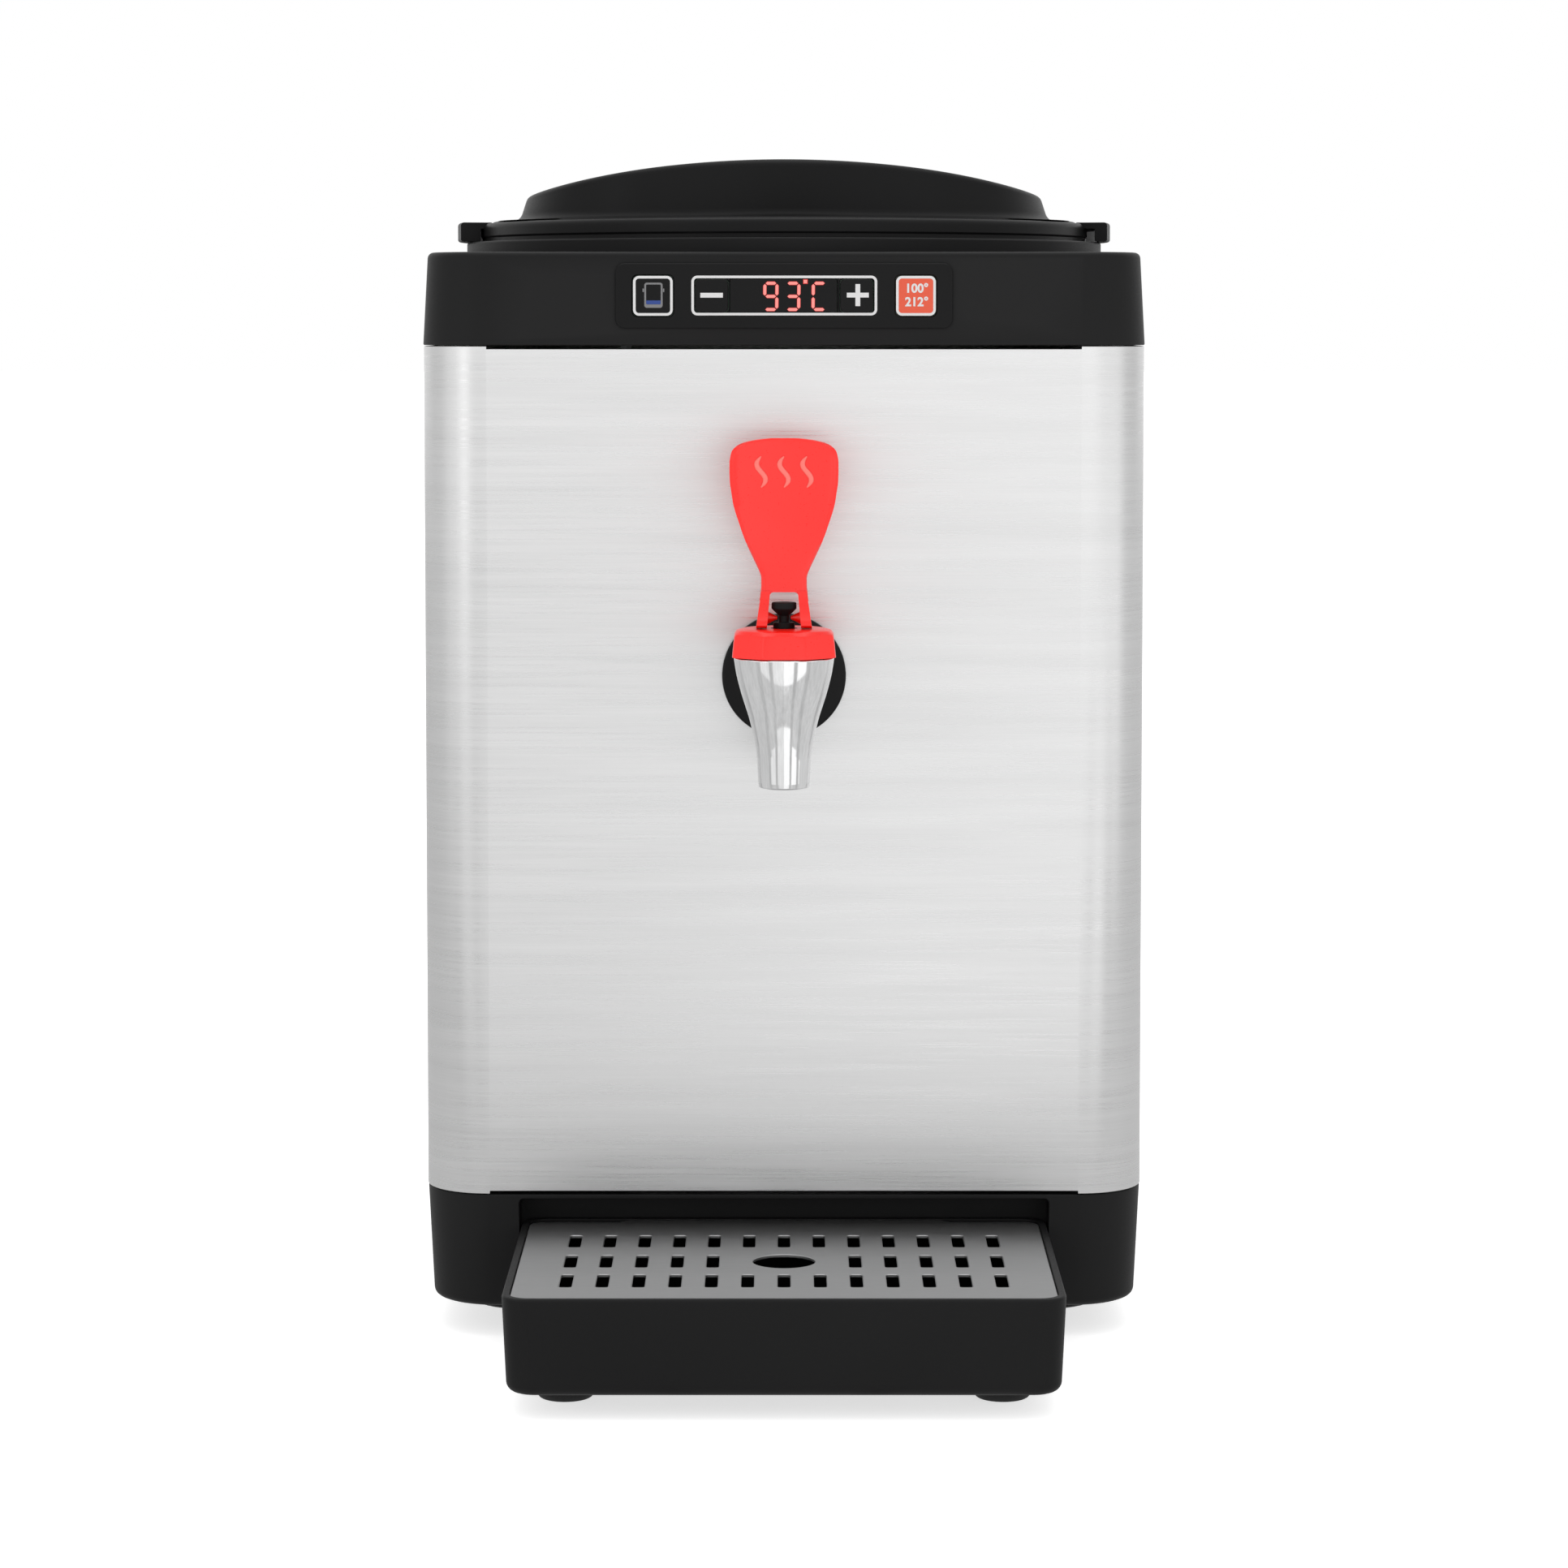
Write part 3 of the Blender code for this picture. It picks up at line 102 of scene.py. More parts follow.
# ---- Mesh tools -----------------------------------------------------------
def soften(points, steps=5, closed=True):
    """Outline through (u, v, radius) points, with each corner turned into an arc."""
    out = []
    count = len(points)
    for i, (u, v, radius) in enumerate(points):
        if radius <= 0 or (not closed and i in (0, count - 1)):
            out.append((u, v))
            continue
        here = complex(u, v)
        a = complex(*points[i - 1][:2]) - here
        b = complex(*points[(i + 1) % count][:2]) - here
        len_a, len_b = abs(a), abs(b)
        a, b = a / len_a, b / len_b
        between = acos(max(-1.0, min(1.0, (a * b.conjugate()).real)))
        if between > pi - 1e-4:
            out += [(u, v)] * (steps + 1)
            continue
        reach = min(radius / tan(between / 2), 0.49 * len_a, 0.49 * len_b)
        middle = (a + b) / abs(a + b)
        centre = here + middle * reach / cos(between / 2)
        start, end = here + a * reach - centre, here + b * reach - centre
        turn = cmath.phase(end / start)
        for k in range(steps + 1):
            point = centre + start * cmath.exp(1j * turn * k / steps)
            out.append((point.real, point.imag))
    return out


def rounded(half_x, low, high, radius, steps=8, centre=0.0):
    """Rounded rectangle, counter-clockwise, as (u, v) points."""
    r = max(radius, 0.0002)
    return soften([(centre + half_x, low, r), (centre + half_x, high, r), (centre - half_x, high, r),
        (centre - half_x, low, r)], steps)


def add_rings(bm, rings, wrap=False):
    """Join rings of points into one closed body. A ring of one point is a tip."""
    loops = [[bm.verts.new(point) for point in ring] for ring in rings]
    pairs = list(zip(loops, loops[1:]))
    if wrap:
        pairs.append((loops[-1], loops[0]))
    for low, high in pairs:
        count = max(len(low), len(high))
        for i in range(count):
            j = (i + 1) % count
            corners = (low[i % len(low)], low[j % len(low)], high[j % len(high)], high[i % len(high)])
            bm.faces.new(list(dict.fromkeys(corners)))
    if not wrap:
        for end in (loops[0], loops[-1]):
            if len(end) > 2:
                bm.faces.new(end)


def add_turned(bm, profile, centre, along="Z", steps=96):
    """Turned shape from (radius, place) points; one that starts off the axis is a closed loop."""
    rings = []
    for radius, place in profile:
        ring = []
        for k in range(steps if radius > 1e-7 else 1):
            u = max(radius, 0.0) * cos(2 * pi * k / steps)
            v = max(radius, 0.0) * sin(2 * pi * k / steps)
            if along == "Z":
                ring.append((centre[0] + u, centre[1] + v, place))
            elif along == "Y":
                ring.append((centre[0] + u, place, centre[1] + v))
            else:
                ring.append((place, centre[0] + u, centre[1] + v))
        rings.append(ring)
    add_rings(bm, rings, wrap=profile[0][0] > 1e-7)


def upright(ring, y):
    return [(x, y, z) for x, z in ring]


def level(ring, z):
    return [(x, y, z) for x, y in ring]


def add_plate(bm, loops, low, high, bevel, place):
    """Flat plate with rounded edges: each loop is a function of the bevel's inset, the first is
    the outside. place(u, v, w) puts a point, with w across the plate, in space."""
    top_edges, bottom_edges = [], []
    for loop in loops:
        rings = [(loop(bevel), low), (loop(0.0), low + bevel), (loop(0.0), high - bevel),
            (loop(bevel), high)]
        rows = [[bm.verts.new(place(u, v, w)) for u, v in ring] for ring, w in rings]
        count = len(rows[0])
        for below, above in zip(rows, rows[1:]):
            for i in range(count):
                j = (i + 1) % count
                bm.faces.new((below[i], below[j], above[j], above[i]))
        for row, edges in ((rows[0], bottom_edges), (rows[-1], top_edges)):
            edges += [bm.edges.get((row[i], row[(i + 1) % count])) for i in range(count)]
    for edges in (bottom_edges, top_edges):
        bmesh.ops.triangle_fill(bm, use_beauty=True, use_dissolve=False, edges=edges)


def add_object(name, bm, smooth=32):
    bmesh.ops.remove_doubles(bm, verts=bm.verts, dist=2e-7)
    bmesh.ops.recalc_face_normals(bm, faces=bm.faces)
    mesh = bpy.data.meshes.new(name)
    bm.to_mesh(mesh)
    bm.free()
    mesh.shade_smooth()
    mesh.set_sharp_from_angle(angle=radians(smooth))
    obj = bpy.data.objects.new(name, mesh)
    bpy.context.scene.collection.objects.link(obj)
    return obj


def bake_modifiers(obj, smooth=32):
    """Replace the object's mesh by its shape with every modifier applied."""
    graph = bpy.context.evaluated_depsgraph_get()
    mesh = bpy.data.meshes.new_from_object(obj.evaluated_get(graph))
    obj.modifiers.clear()
    obj.data = mesh
    mesh.shade_smooth()
    mesh.set_sharp_from_angle(angle=radians(smooth))


def combine(target, others, operation="DIFFERENCE", smooth=32):
    for other in others:
        modifier = target.modifiers.new(other.name, "BOOLEAN")
        modifier.operation = operation
        modifier.object = other
        modifier.solver = "EXACT"
    bake_modifiers(target, smooth)
    for other in others:
        bpy.data.objects.remove(other, do_unlink=True)


def add_block(bm, x, y, z, bevel=0.0002):
    """Box with rounded upright edges from three (low, high) pairs, bevelled at top and bottom."""
    half = (x[1] - x[0]) / 2
    centre = (x[0] + x[1]) / 2
    rings = []
    for inset, height in ((bevel, z[0]), (0.0, z[0] + bevel), (0.0, z[1] - bevel), (bevel, z[1])):
        rings.append(level(rounded(half - inset, y[0] + inset, y[1] - inset, bevel * 2, 2, centre), height))
    add_rings(bm, rings)


def one(name, build, smooth=32):
    bm = bmesh.new()
    build(bm)
    return add_object(name, bm, smooth)


def ring_solid(name, rings, wrap=False, smooth=32):
    return one(name, lambda bm: add_rings(bm, rings, wrap), smooth)


def turned_solid(name, profile, centre, along="Z", steps=96, smooth=32):
    return one(name, lambda bm: add_turned(bm, profile, centre, along, steps), smooth)


def plate_solid(name, loops, low, high, bevel, place, smooth=32):
    return one(name, lambda bm: add_plate(bm, loops, low, high, bevel, place), smooth)


def block_solid(name, x, y, z):
    return one(name, lambda bm: add_block(bm, x, y, z))


def piece(obj, material, body, slot, *nodes):
    """Finish a piece: its material, its body, its slot (which is not used) and the nodes that it stands for."""
    obj.data.materials.clear()
    obj.data.materials.append(MATERIALS[material])
    weighted = obj.modifiers.new("even_normals", "WEIGHTED_NORMAL")
    weighted.keep_sharp = True
    weighted.weight = 60
    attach(obj, body)
    if nodes:
        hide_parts(*nodes)


# ---- Materials ------------------------------------------------------------
MATERIALS = {}


def set_inputs(node, **values):
    """Give sockets their constants; an underscore stands for a space in a socket's name."""
    for socket, value in values.items():
        node.inputs[socket.replace("_", " ")].default_value = value


def finish(name, colour, roughness, metallic=0.0, specular=0.5, tone=0.10, spread=0.08, grain=900.0,
        stretch=(1.0, 1.0, 1.0), bump=0.06, depth=0.00004, patch=18.0, coat=0.0, coat_roughness=0.1,
        anisotropic=0.0, emission=0.0, wear=0.0):
    """Procedural finish: fine grain in bump and roughness, and a slow drift of tone."""
    material = bpy.data.materials.new(name)
    material.use_nodes = True
    tree = material.node_tree
    shader = tree.nodes["Principled BSDF"]
    set_inputs(shader, Metallic=metallic, Specular_IOR_Level=specular, Coat_Weight=coat,
        Coat_Roughness=coat_roughness, Anisotropic=anisotropic)
    place = tree.nodes.new("ShaderNodeTexCoord")

    def noise(scale, detail, stretched):
        mapping = tree.nodes.new("ShaderNodeMapping")
        set_inputs(mapping, Scale=stretched)
        texture = tree.nodes.new("ShaderNodeTexNoise")
        set_inputs(texture, Scale=scale, Detail=detail)
        tree.links.new(place.outputs["Object"], mapping.inputs["Vector"])
        tree.links.new(mapping.outputs["Vector"], texture.inputs["Vector"])
        return texture.outputs["Fac"]

    def spanned(value, low, high, start=0.3, stop=0.7):
        node = tree.nodes.new("ShaderNodeMapRange")
        set_inputs(node, From_Min=start, From_Max=stop, To_Min=low, To_Max=high)
        tree.links.new(value, node.inputs["Value"])
        return node.outputs["Result"]

    fine = noise(grain, 3.0, stretch)
    slow = noise(patch, 2.0, tuple(max(0.05, s) if s < 1 else 1.0 for s in stretch))
    blend = tree.nodes.new("ShaderNodeMath")
    blend.operation = "ADD"
    blend.use_clamp = True
    tree.links.new(spanned(fine, 0.0, 0.5), blend.inputs[0])
    tree.links.new(spanned(slow, 0.0, 0.5), blend.inputs[1])
    mix = tree.nodes.new("ShaderNodeMix")
    mix.data_type = "RGBA"
    mix.inputs["A"].default_value = (*[c * (1 - tone) for c in colour], 1.0)
    mix.inputs["B"].default_value = (*[min(1.0, c * (1 + tone)) for c in colour], 1.0)
    tree.links.new(blend.outputs["Value"], mix.inputs["Factor"])
    tint = mix.outputs["Result"]
    if wear:
        edges = tree.nodes.new("ShaderNodeNewGeometry")
        worn = tree.nodes.new("ShaderNodeMix")
        worn.data_type = "RGBA"
        worn.inputs["B"].default_value = (*[min(1.0, c * 2.0 + 0.006) for c in colour], 1.0)
        tree.links.new(spanned(edges.outputs["Pointiness"], 0.0, wear, 0.52, 0.62), worn.inputs["Factor"])
        tree.links.new(tint, worn.inputs["A"])
        tint = worn.outputs["Result"]
    tree.links.new(tint, shader.inputs["Base Color"])
    if emission:
        tree.links.new(tint, shader.inputs["Emission Color"])
        set_inputs(shader, Emission_Strength=emission)
    tree.links.new(spanned(fine, roughness - spread, roughness + spread), shader.inputs["Roughness"])
    if bump:
        relief = tree.nodes.new("ShaderNodeBump")
        set_inputs(relief, Strength=bump, Distance=depth)
        tree.links.new(fine, relief.inputs["Height"])
        tree.links.new(relief.outputs["Normal"], shader.inputs["Normal"])
    if anisotropic:
        tangent = tree.nodes.new("ShaderNodeTangent")
        tangent.direction_type = "RADIAL"
        tangent.axis = "Z"
        tree.links.new(tangent.outputs["Tangent"], shader.inputs["Tangent"])
    MATERIALS[name] = material


def make_materials():
    along = (0.014, 0.014, 1.0)         # hairlines run round the body and are fine in height
    finish("brushed_steel", (0.70, 0.70, 0.70), 0.30, 1.0, tone=0.05, spread=0.05, grain=1500.0,
        stretch=along, bump=0.10, depth=0.00003, patch=190.0, anisotropic=0.55)
    finish("satin_steel", (0.335, 0.337, 0.34), 0.42, 1.0, tone=0.05, spread=0.05, grain=2600.0,
        stretch=(0.05, 1.0, 1.0), bump=0.06, depth=0.00002, patch=30.0)
    finish("polished_steel", (0.82, 0.822, 0.825), 0.10, 1.0, tone=0.11, spread=0.03, grain=1400.0,
        stretch=(1.0, 1.0, 0.03), bump=0.03, depth=0.00002, patch=300.0)
    finish("zinc_steel", (0.50, 0.51, 0.53), 0.38, 1.0, tone=0.14, spread=0.10, grain=420.0, patch=60.0,
        bump=0.05)
    finish("black_plastic", (0.0072, 0.0072, 0.0074), 0.50, specular=0.13, tone=0.16, spread=0.06,
        grain=2600.0, bump=0.16, depth=0.00003, patch=14.0, wear=0.25)
    finish("lid_plastic", (0.0060, 0.0060, 0.0062), 0.42, specular=0.12, tone=0.16, spread=0.06,
        grain=2600.0, bump=0.14, depth=0.00003, patch=14.0, wear=0.2)
    finish("gloss_black", (0.0068, 0.0068, 0.0070), 0.22, specular=0.10, tone=0.10, spread=0.03,
        grain=1800.0, bump=0.03, patch=30.0)
    finish("red_plastic", (0.85, 0.007, 0.002), 0.30, specular=0.4, tone=0.03, spread=0.03, grain=1900.0,
        bump=0.02, patch=40.0, coat=0.2, coat_roughness=0.15)
    finish("red_sign", (0.82, 0.135, 0.110), 0.30, specular=0.6, tone=0.03, spread=0.03, grain=1900.0,
        bump=0.02)
    finish("orange_plastic", (0.62, 0.080, 0.036), 0.40, specular=0.30, tone=0.05, spread=0.04,
        grain=1900.0, bump=0.04)
    finish("black_rubber", (0.010, 0.010, 0.010), 0.72, specular=0.30, tone=0.20, spread=0.10, grain=1600.0,
        bump=0.22)
    finish("silicone", (0.60, 0.61, 0.60), 0.52, specular=0.4, tone=0.06, grain=700.0, bump=0.05)
    finish("foam", (0.40, 0.40, 0.39), 0.88, specular=0.2, tone=0.20, grain=520.0, bump=0.5, depth=0.0003)
    finish("board_green", (0.020, 0.15, 0.055), 0.42, specular=0.5, tone=0.22, grain=300.0, patch=90.0,
        coat=0.3)
    finish("cable_grey", (0.28, 0.28, 0.29), 0.50, specular=0.4, tone=0.10, grain=700.0, bump=0.08)
    finish("print_white", (0.58, 0.58, 0.58), 0.45, specular=0.3, tone=0.03, grain=1500.0, bump=0.03)
    finish("print_grey", (0.16, 0.16, 0.165), 0.45, specular=0.3, tone=0.05, grain=1500.0, bump=0.03)
    finish("print_blue", (0.026, 0.055, 0.22), 0.40, specular=0.2, tone=0.06, grain=1500.0, bump=0.03)
    finish("digit_edge", (0.40, 0.025, 0.022), 0.40, specular=0.2, tone=0.04, grain=1500.0, bump=0.0,
        emission=0.4)
    finish("digit_light", (0.62, 0.19, 0.17), 0.40, specular=0.2, tone=0.04, grain=1500.0, bump=0.0,
        emission=0.5)
    finish("copper_pin", (0.55, 0.50, 0.42), 0.25, 1.0, tone=0.06, grain=600.0, bump=0.03)


make_materials()


# ---- Stage, lights and camera ---------------------------------------------
EYE = Vector((0.0, -1.586, 0.366))      # the camera's eye, level with the top of the steel
IMAGE = 1932
FOCAL = 5240.0                          # in image widths of 1932 points
SHIFT = 0.12
HORIZON = 569.0                         # how far the horizon lies above the middle
REACH = 12.0                            # how far the floor cards go
WHITE = (1.0, 1.0, 1.0, 1.0)
FLOOR_BANDS = (                         # name, start and end in Y, radiance on the left and on the right
    ("near", -0.5, REACH, 0.65, 0.69),
    ("middle", -2.6, -0.5, 0.93, 1.25),
    ("far", -REACH, -2.6, 0.76, 1.08))
FLAG_X = 2.2
STRIP_AZIMUTHS = ((-70, -58), (-36, -27), (24, 33), (55, 66))   # seen from the tap, in degrees
STRIP_REACH = 2.2


def make_camera():
    data = bpy.data.cameras.new("camera")
    data.sensor_width = 36.0
    data.lens = 36.0 * FOCAL / IMAGE
    data.shift_y = -SHIFT
    data.clip_start, data.clip_end = 0.05, 100.0
    camera = bpy.data.objects.new("camera", data)
    pitch = atan((HORIZON - SHIFT * IMAGE) / FOCAL)
    camera.location = EYE
    camera.rotation_euler = (pi / 2 - pitch, 0.0, 0.0)
    bpy.context.scene.collection.objects.link(camera)
    bpy.context.scene.camera = camera


def area_light(name, place, aim, size, radiance):
    """Soft box: radiance is how bright its face is."""
    data = bpy.data.lights.new(name, "AREA")
    data.shape = "RECTANGLE"
    data.size, data.size_y = size
    data.energy = radiance * pi * size[0] * size[1]
    light = bpy.data.objects.new(name, data)
    light.location = place
    light.rotation_euler = (Vector(aim) - Vector(place)).to_track_quat("-Z", "Y").to_euler()
    light.visible_camera = False
    bpy.context.scene.collection.objects.link(light)


def glow_card(name, corners, radiance):
    """Studio card of a steady grey that only glossy reflections show."""
    paint = bpy.data.materials.new(name + "_paint")
    paint.use_nodes = True
    shader = paint.node_tree.nodes["Principled BSDF"]
    set_inputs(shader, Base_Color=(0.0, 0.0, 0.0, 1.0), Specular_IOR_Level=0.0, Emission_Color=WHITE,
        Emission_Strength=radiance)
    card = one(name, lambda bm: bm.faces.new([bm.verts.new(corner) for corner in corners]))
    card.data.materials.append(paint)
    card.visible_camera = card.visible_diffuse = card.visible_shadow = card.visible_transmission = False


def make_stage():
    scene = bpy.context.scene
    scene.view_settings.view_transform = "Standard"
    world = bpy.data.worlds.new("studio")
    world.use_nodes = True
    set_inputs(world.node_tree.nodes["Background"], Color=WHITE, Strength=1.0)
    scene.world = world
    floor = one("floor", lambda bm: bmesh.ops.create_grid(bm, x_segments=4, y_segments=4, size=30.0))
    paint = bpy.data.materials.new("floor_paint")
    paint.use_nodes = True
    shader = paint.node_tree.nodes["Principled BSDF"]
    set_inputs(shader, Base_Color=(0.62, 0.62, 0.62, 1.0), Roughness=0.85, Specular_IOR_Level=0.1,
        Emission_Color=WHITE, Emission_Strength=0.66)
    floor.data.materials.append(paint)
    for label, front, back, left, right in FLOOR_BANDS:
        for side, radiance in ((-1, left), (1, right)):
            plan = ((0.0, front), (REACH, front), (REACH, back), (0.0, back))
            corners = [(x * side, y, 0.002) for x, y in plan]
            glow_card("floor_card_%s_%s" % (label, "left" if side < 0 else "right"), corners, radiance)
    for side in (-1, 1):
        corners = [(FLAG_X * side, y, z) for y, z in ((-0.4, 0.0), (1.3, 0.0), (1.3, 2.2), (-0.4, 2.2))]
        glow_card("side_flag_%d" % side, corners, 0.72)
    for number, (start, stop) in enumerate(STRIP_AZIMUTHS):
        ends = ((0.02, start), (0.02, stop), (STRIP_REACH, stop), (STRIP_REACH, start))
        wedge = [(r * sin(radians(a)), TAP_Y - r * cos(radians(a)), 0.004) for r, a in ends]
        glow_card("floor_strip_%d" % (number + 1), wedge, 0.55)
    area_light("front_box", (1.05, -3.4, 1.40), (1.05, 0.0, 1.40), (2.6, 2.6), 0.25)
    area_light("top_box", (0.0, 0.1, 2.6), (0.0, 0.06, 0.0), (2.4, 2.4), 0.9)
    area_light("left_strip", (-2.36, -2.45, 1.2), (0.0, 0.0, 0.3), (0.75, 2.4), 1.0)


make_camera()
make_stage()


# ---- Housing --------------------------------------------------------------
def jacket_line(offset, steps=14):
    """Open plan line of the wrap at a depth below its outer face."""
    rear_y, back = REAR_LOW.y - GAP, 0.100
    side, front = BODY_HALF - offset, FRONT_Y + offset
    flat = BODY_HALF - CORNER
    turns = soften([(0.0, rear_y - offset, 0), (side, rear_y - offset, 0.021 - offset),
        (side, front, CORNER - offset), (0.0, front, 0)], steps, closed=False)[1:-1]
    half = [(back, rear_y - offset)] + turns + [(flat - 0.0001, front)]
    return half + [(-x, y) for x, y in reversed(half)]


def build_jacket():
    low, high, trim = JACKET_LOW.z, JACKET_HIGH.z, 0.001
    section = rounded(SHEET / 2, low, high, 0.00035, 3, SHEET / 2)
    lines = [jacket_line(depth) for depth, _ in section]
    rings = []
    for points in zip(*lines):
        ring = []
        for (x, y), (_, z) in zip(points, section):
            on_front = y < 0 and abs(x) < BODY_HALF - CORNER - 0.00005
            ring.append((x, y, z + (trim if z < 0.2 else -trim) * on_front))
        rings.append(ring)
    jacket = ring_solid("jacket", rings, smooth=25)
    hole = turned_solid("hole", [(0, FRONT_Y - 0.01), (SHANK_RADIUS, FRONT_Y - 0.01),
        (SHANK_RADIUS, FRONT_Y + 0.01), (0, FRONT_Y + 0.01)], (0.0, TAP_AXIS_Z), "Y", 48)
    combine(jacket, [hole], smooth=25)
    piece(jacket, "brushed_steel", "root", "brushed_steel", "steel_jacket")


def build_cap():
    """Upper housing: tapered sides, soft top edge, collar and mouth."""
    half, taper = HOUSING_HIGH.x, 0.0017
    low = HOUSING_LOW.z

    def plan(inset_x, inset_y, radius):
        return rounded(half - inset_x, FRONT_Y - 0.0002 + inset_y, REAR_Y - inset_x, radius, 14)

    rings = [level(plan(WALL + taper, WALL, CORNER - WALL), HOUSING_TOP - WALL),
        level(plan(WALL, WALL, CORNER - WALL), low), level(plan(0.0003, 0.0003, CORNER), low),
        level(plan(0, 0, CORNER), low + 0.0003)]
    fillet = 0.0022
    for k in range(7):
        turn = radians(15 * k)
        inset = fillet * (1 - cos(turn))
        rings.append(level(plan(taper + inset, inset, CORNER - inset),
            HOUSING_TOP - fillet * (1 - sin(turn))))
    cap = ring_solid("cap", rings, smooth=30)
    top = HOUSING_HIGH.z
    profile = soften([(COLLAR_BORE, HOUSING_TOP - 0.001, 0), (COLLAR_RADIUS, HOUSING_TOP - 0.001, 0),
        (COLLAR_RADIUS, top, 0.0008), (COLLAR_BORE, top, 0.0008)], 4)
    collar = turned_solid("collar", profile, (0.0, BODY_Y), "Z", 160)
    mouth = turned_solid("mouth", [(0, HOUSING_TOP - 0.01), (MOUTH_RADIUS, HOUSING_TOP - 0.01),
        (MOUTH_RADIUS, HOUSING_TOP - 0.0008), (MOUTH_RADIUS + 0.0012, HOUSING_TOP + 0.0004),
        (MOUTH_RADIUS + 0.0012, HOUSING_TOP + 0.002), (0, HOUSING_TOP + 0.002)], (0.0, BODY_Y), "Z", 160)
    window = block_solid("window", (-0.0545, 0.0545), (FRONT_Y - 0.01, FRONT_Y + 0.01),
        (PANEL_Z - 0.0075, PANEL_Z + 0.0075))
    combine(cap, [collar], "UNION", 30)
    combine(cap, [mouth, window], smooth=30)
    piece(cap, "black_plastic", "root", "black_plastic", "upper_housing")


def build_base():
    """Base housing: drafted sides, a rounded lower edge and the recess for the tray."""
    low, high, draft, edge = BASE_LOW.z, BASE_HIGH.z, 0.002, 0.003

    def plan(inset):
        return rounded(BODY_HALF - inset, FRONT_Y + inset, REAR_Y - inset, CORNER - inset / 2, 14)

    rings = []
    for k in range(6):
        turn = radians(18 * k)
        rings.append(level(plan(draft + edge * (1 - sin(turn))), low + edge * (1 - cos(turn))))
    rings += [level(plan(0.0002), high - 0.0004), level(plan(0.0005), high)]
    base = ring_solid("base", rings, smooth=30)
    cavity = rounded(0.1245, RECESS_Y + WALL, REAR_Y - 0.005, 0.021, 6)
    floor_hole = rounded(0.108, RECESS_Y + 0.010, 0.172, 0.010, 6)
    cutters = [ring_solid("cavity", [level(cavity, low + WALL), level(cavity, high + 0.01)]),
        ring_solid("floor_hole", [level(floor_hole, 0.0), level(floor_hole, 0.03)])]
    # The recess opens outwards by a small chamfer at the face
    arch = []
    for y, grow in ((FRONT_Y - 0.01, 0.0006), (FRONT_Y - 0.0001, 0.0006), (FRONT_Y + 0.0007, 0.0),
            (RECESS_Y, 0.0)):
        outline = soften([(RECESS_HALF + grow, -0.01, 0), (RECESS_HALF + grow, RECESS_TOP + grow / 2,
            0.0020), (-RECESS_HALF - grow, RECESS_TOP + grow / 2, 0.0020),
            (-RECESS_HALF - grow, -0.01, 0)], 6)
        arch.append(upright(outline, y))
    cutters.append(ring_solid("recess", arch))
    for x, half_x, half_z in ((-0.045, 0.0150, 0.0110), (0.045, 0.0075, 0.0110)):
        port = rounded(half_x + GAP, PORT_Z - half_z - GAP, PORT_Z + half_z + GAP, 0.0012, 4, x)
        cutters.append(ring_solid("port", [upright(port, REAR_Y - 0.02), upright(port, REAR_Y + 0.01)]))
    cutters.append(turned_solid("drain", [(0, REAR_Y - 0.02), (0.0068, REAR_Y - 0.02),
        (0.0068, REAR_Y + 0.01), (0, REAR_Y + 0.01)], (0.0, PORT_Z), "Y", 48))
    combine(base, cutters, smooth=30)
    piece(base, "black_plastic", "root", "black_plastic", "base_housing")


def build_plinth_and_feet():
    top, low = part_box("base_plate")[1].z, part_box("base_plate")[0].z
    outline = lambda inset: rounded(0.114 - inset, FRONT_Y + 0.009 + inset, 0.180 - inset, 0.018, 8)
    rings = [level(outline(0.0007), low), level(outline(0.0), low + 0.0007), level(outline(0.0), top)]
    plate = ring_solid("plinth", rings)
    notch = block_solid("notch", (-RECESS_HALF - 0.001, RECESS_HALF + 0.001),
        (FRONT_Y - 0.005, RECESS_Y + 0.0005), (0.0, 0.02))
    combine(plate, [notch])
    piece(plate, "black_plastic", "root", "zinc_steel", "base_plate")
    for node in ("foot_front_left", "foot_front_right", "foot_rear_left", "foot_rear_right",
            "tray_foot_left", "tray_foot_right"):
        lo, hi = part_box(node)
        r, centre = (hi.x - lo.x) / 2, ((lo.x + hi.x) / 2, (lo.y + hi.y) / 2)
        profile = soften([(0, hi.z, 0), (r, hi.z, 0.0005), (r, 0.0046, 0.0004),
            (r - 0.0006, 0.0042, 0.0004), (r - 0.0006, 0.0034, 0.0004), (r, 0.0030, 0.0004),
            (r - 0.0003, 0.0, 0.0016), (r * 0.55, 0.0, 0.0006), (r * 0.50, 0.0007, 0.0004),
            (0, 0.0007, 0)], 4)
        foot = turned_solid(node + "_pad", profile, centre, "Z", 64)
        piece(foot, "black_rubber", "tray" if node.startswith("tray") else "root", "black_rubber", node)


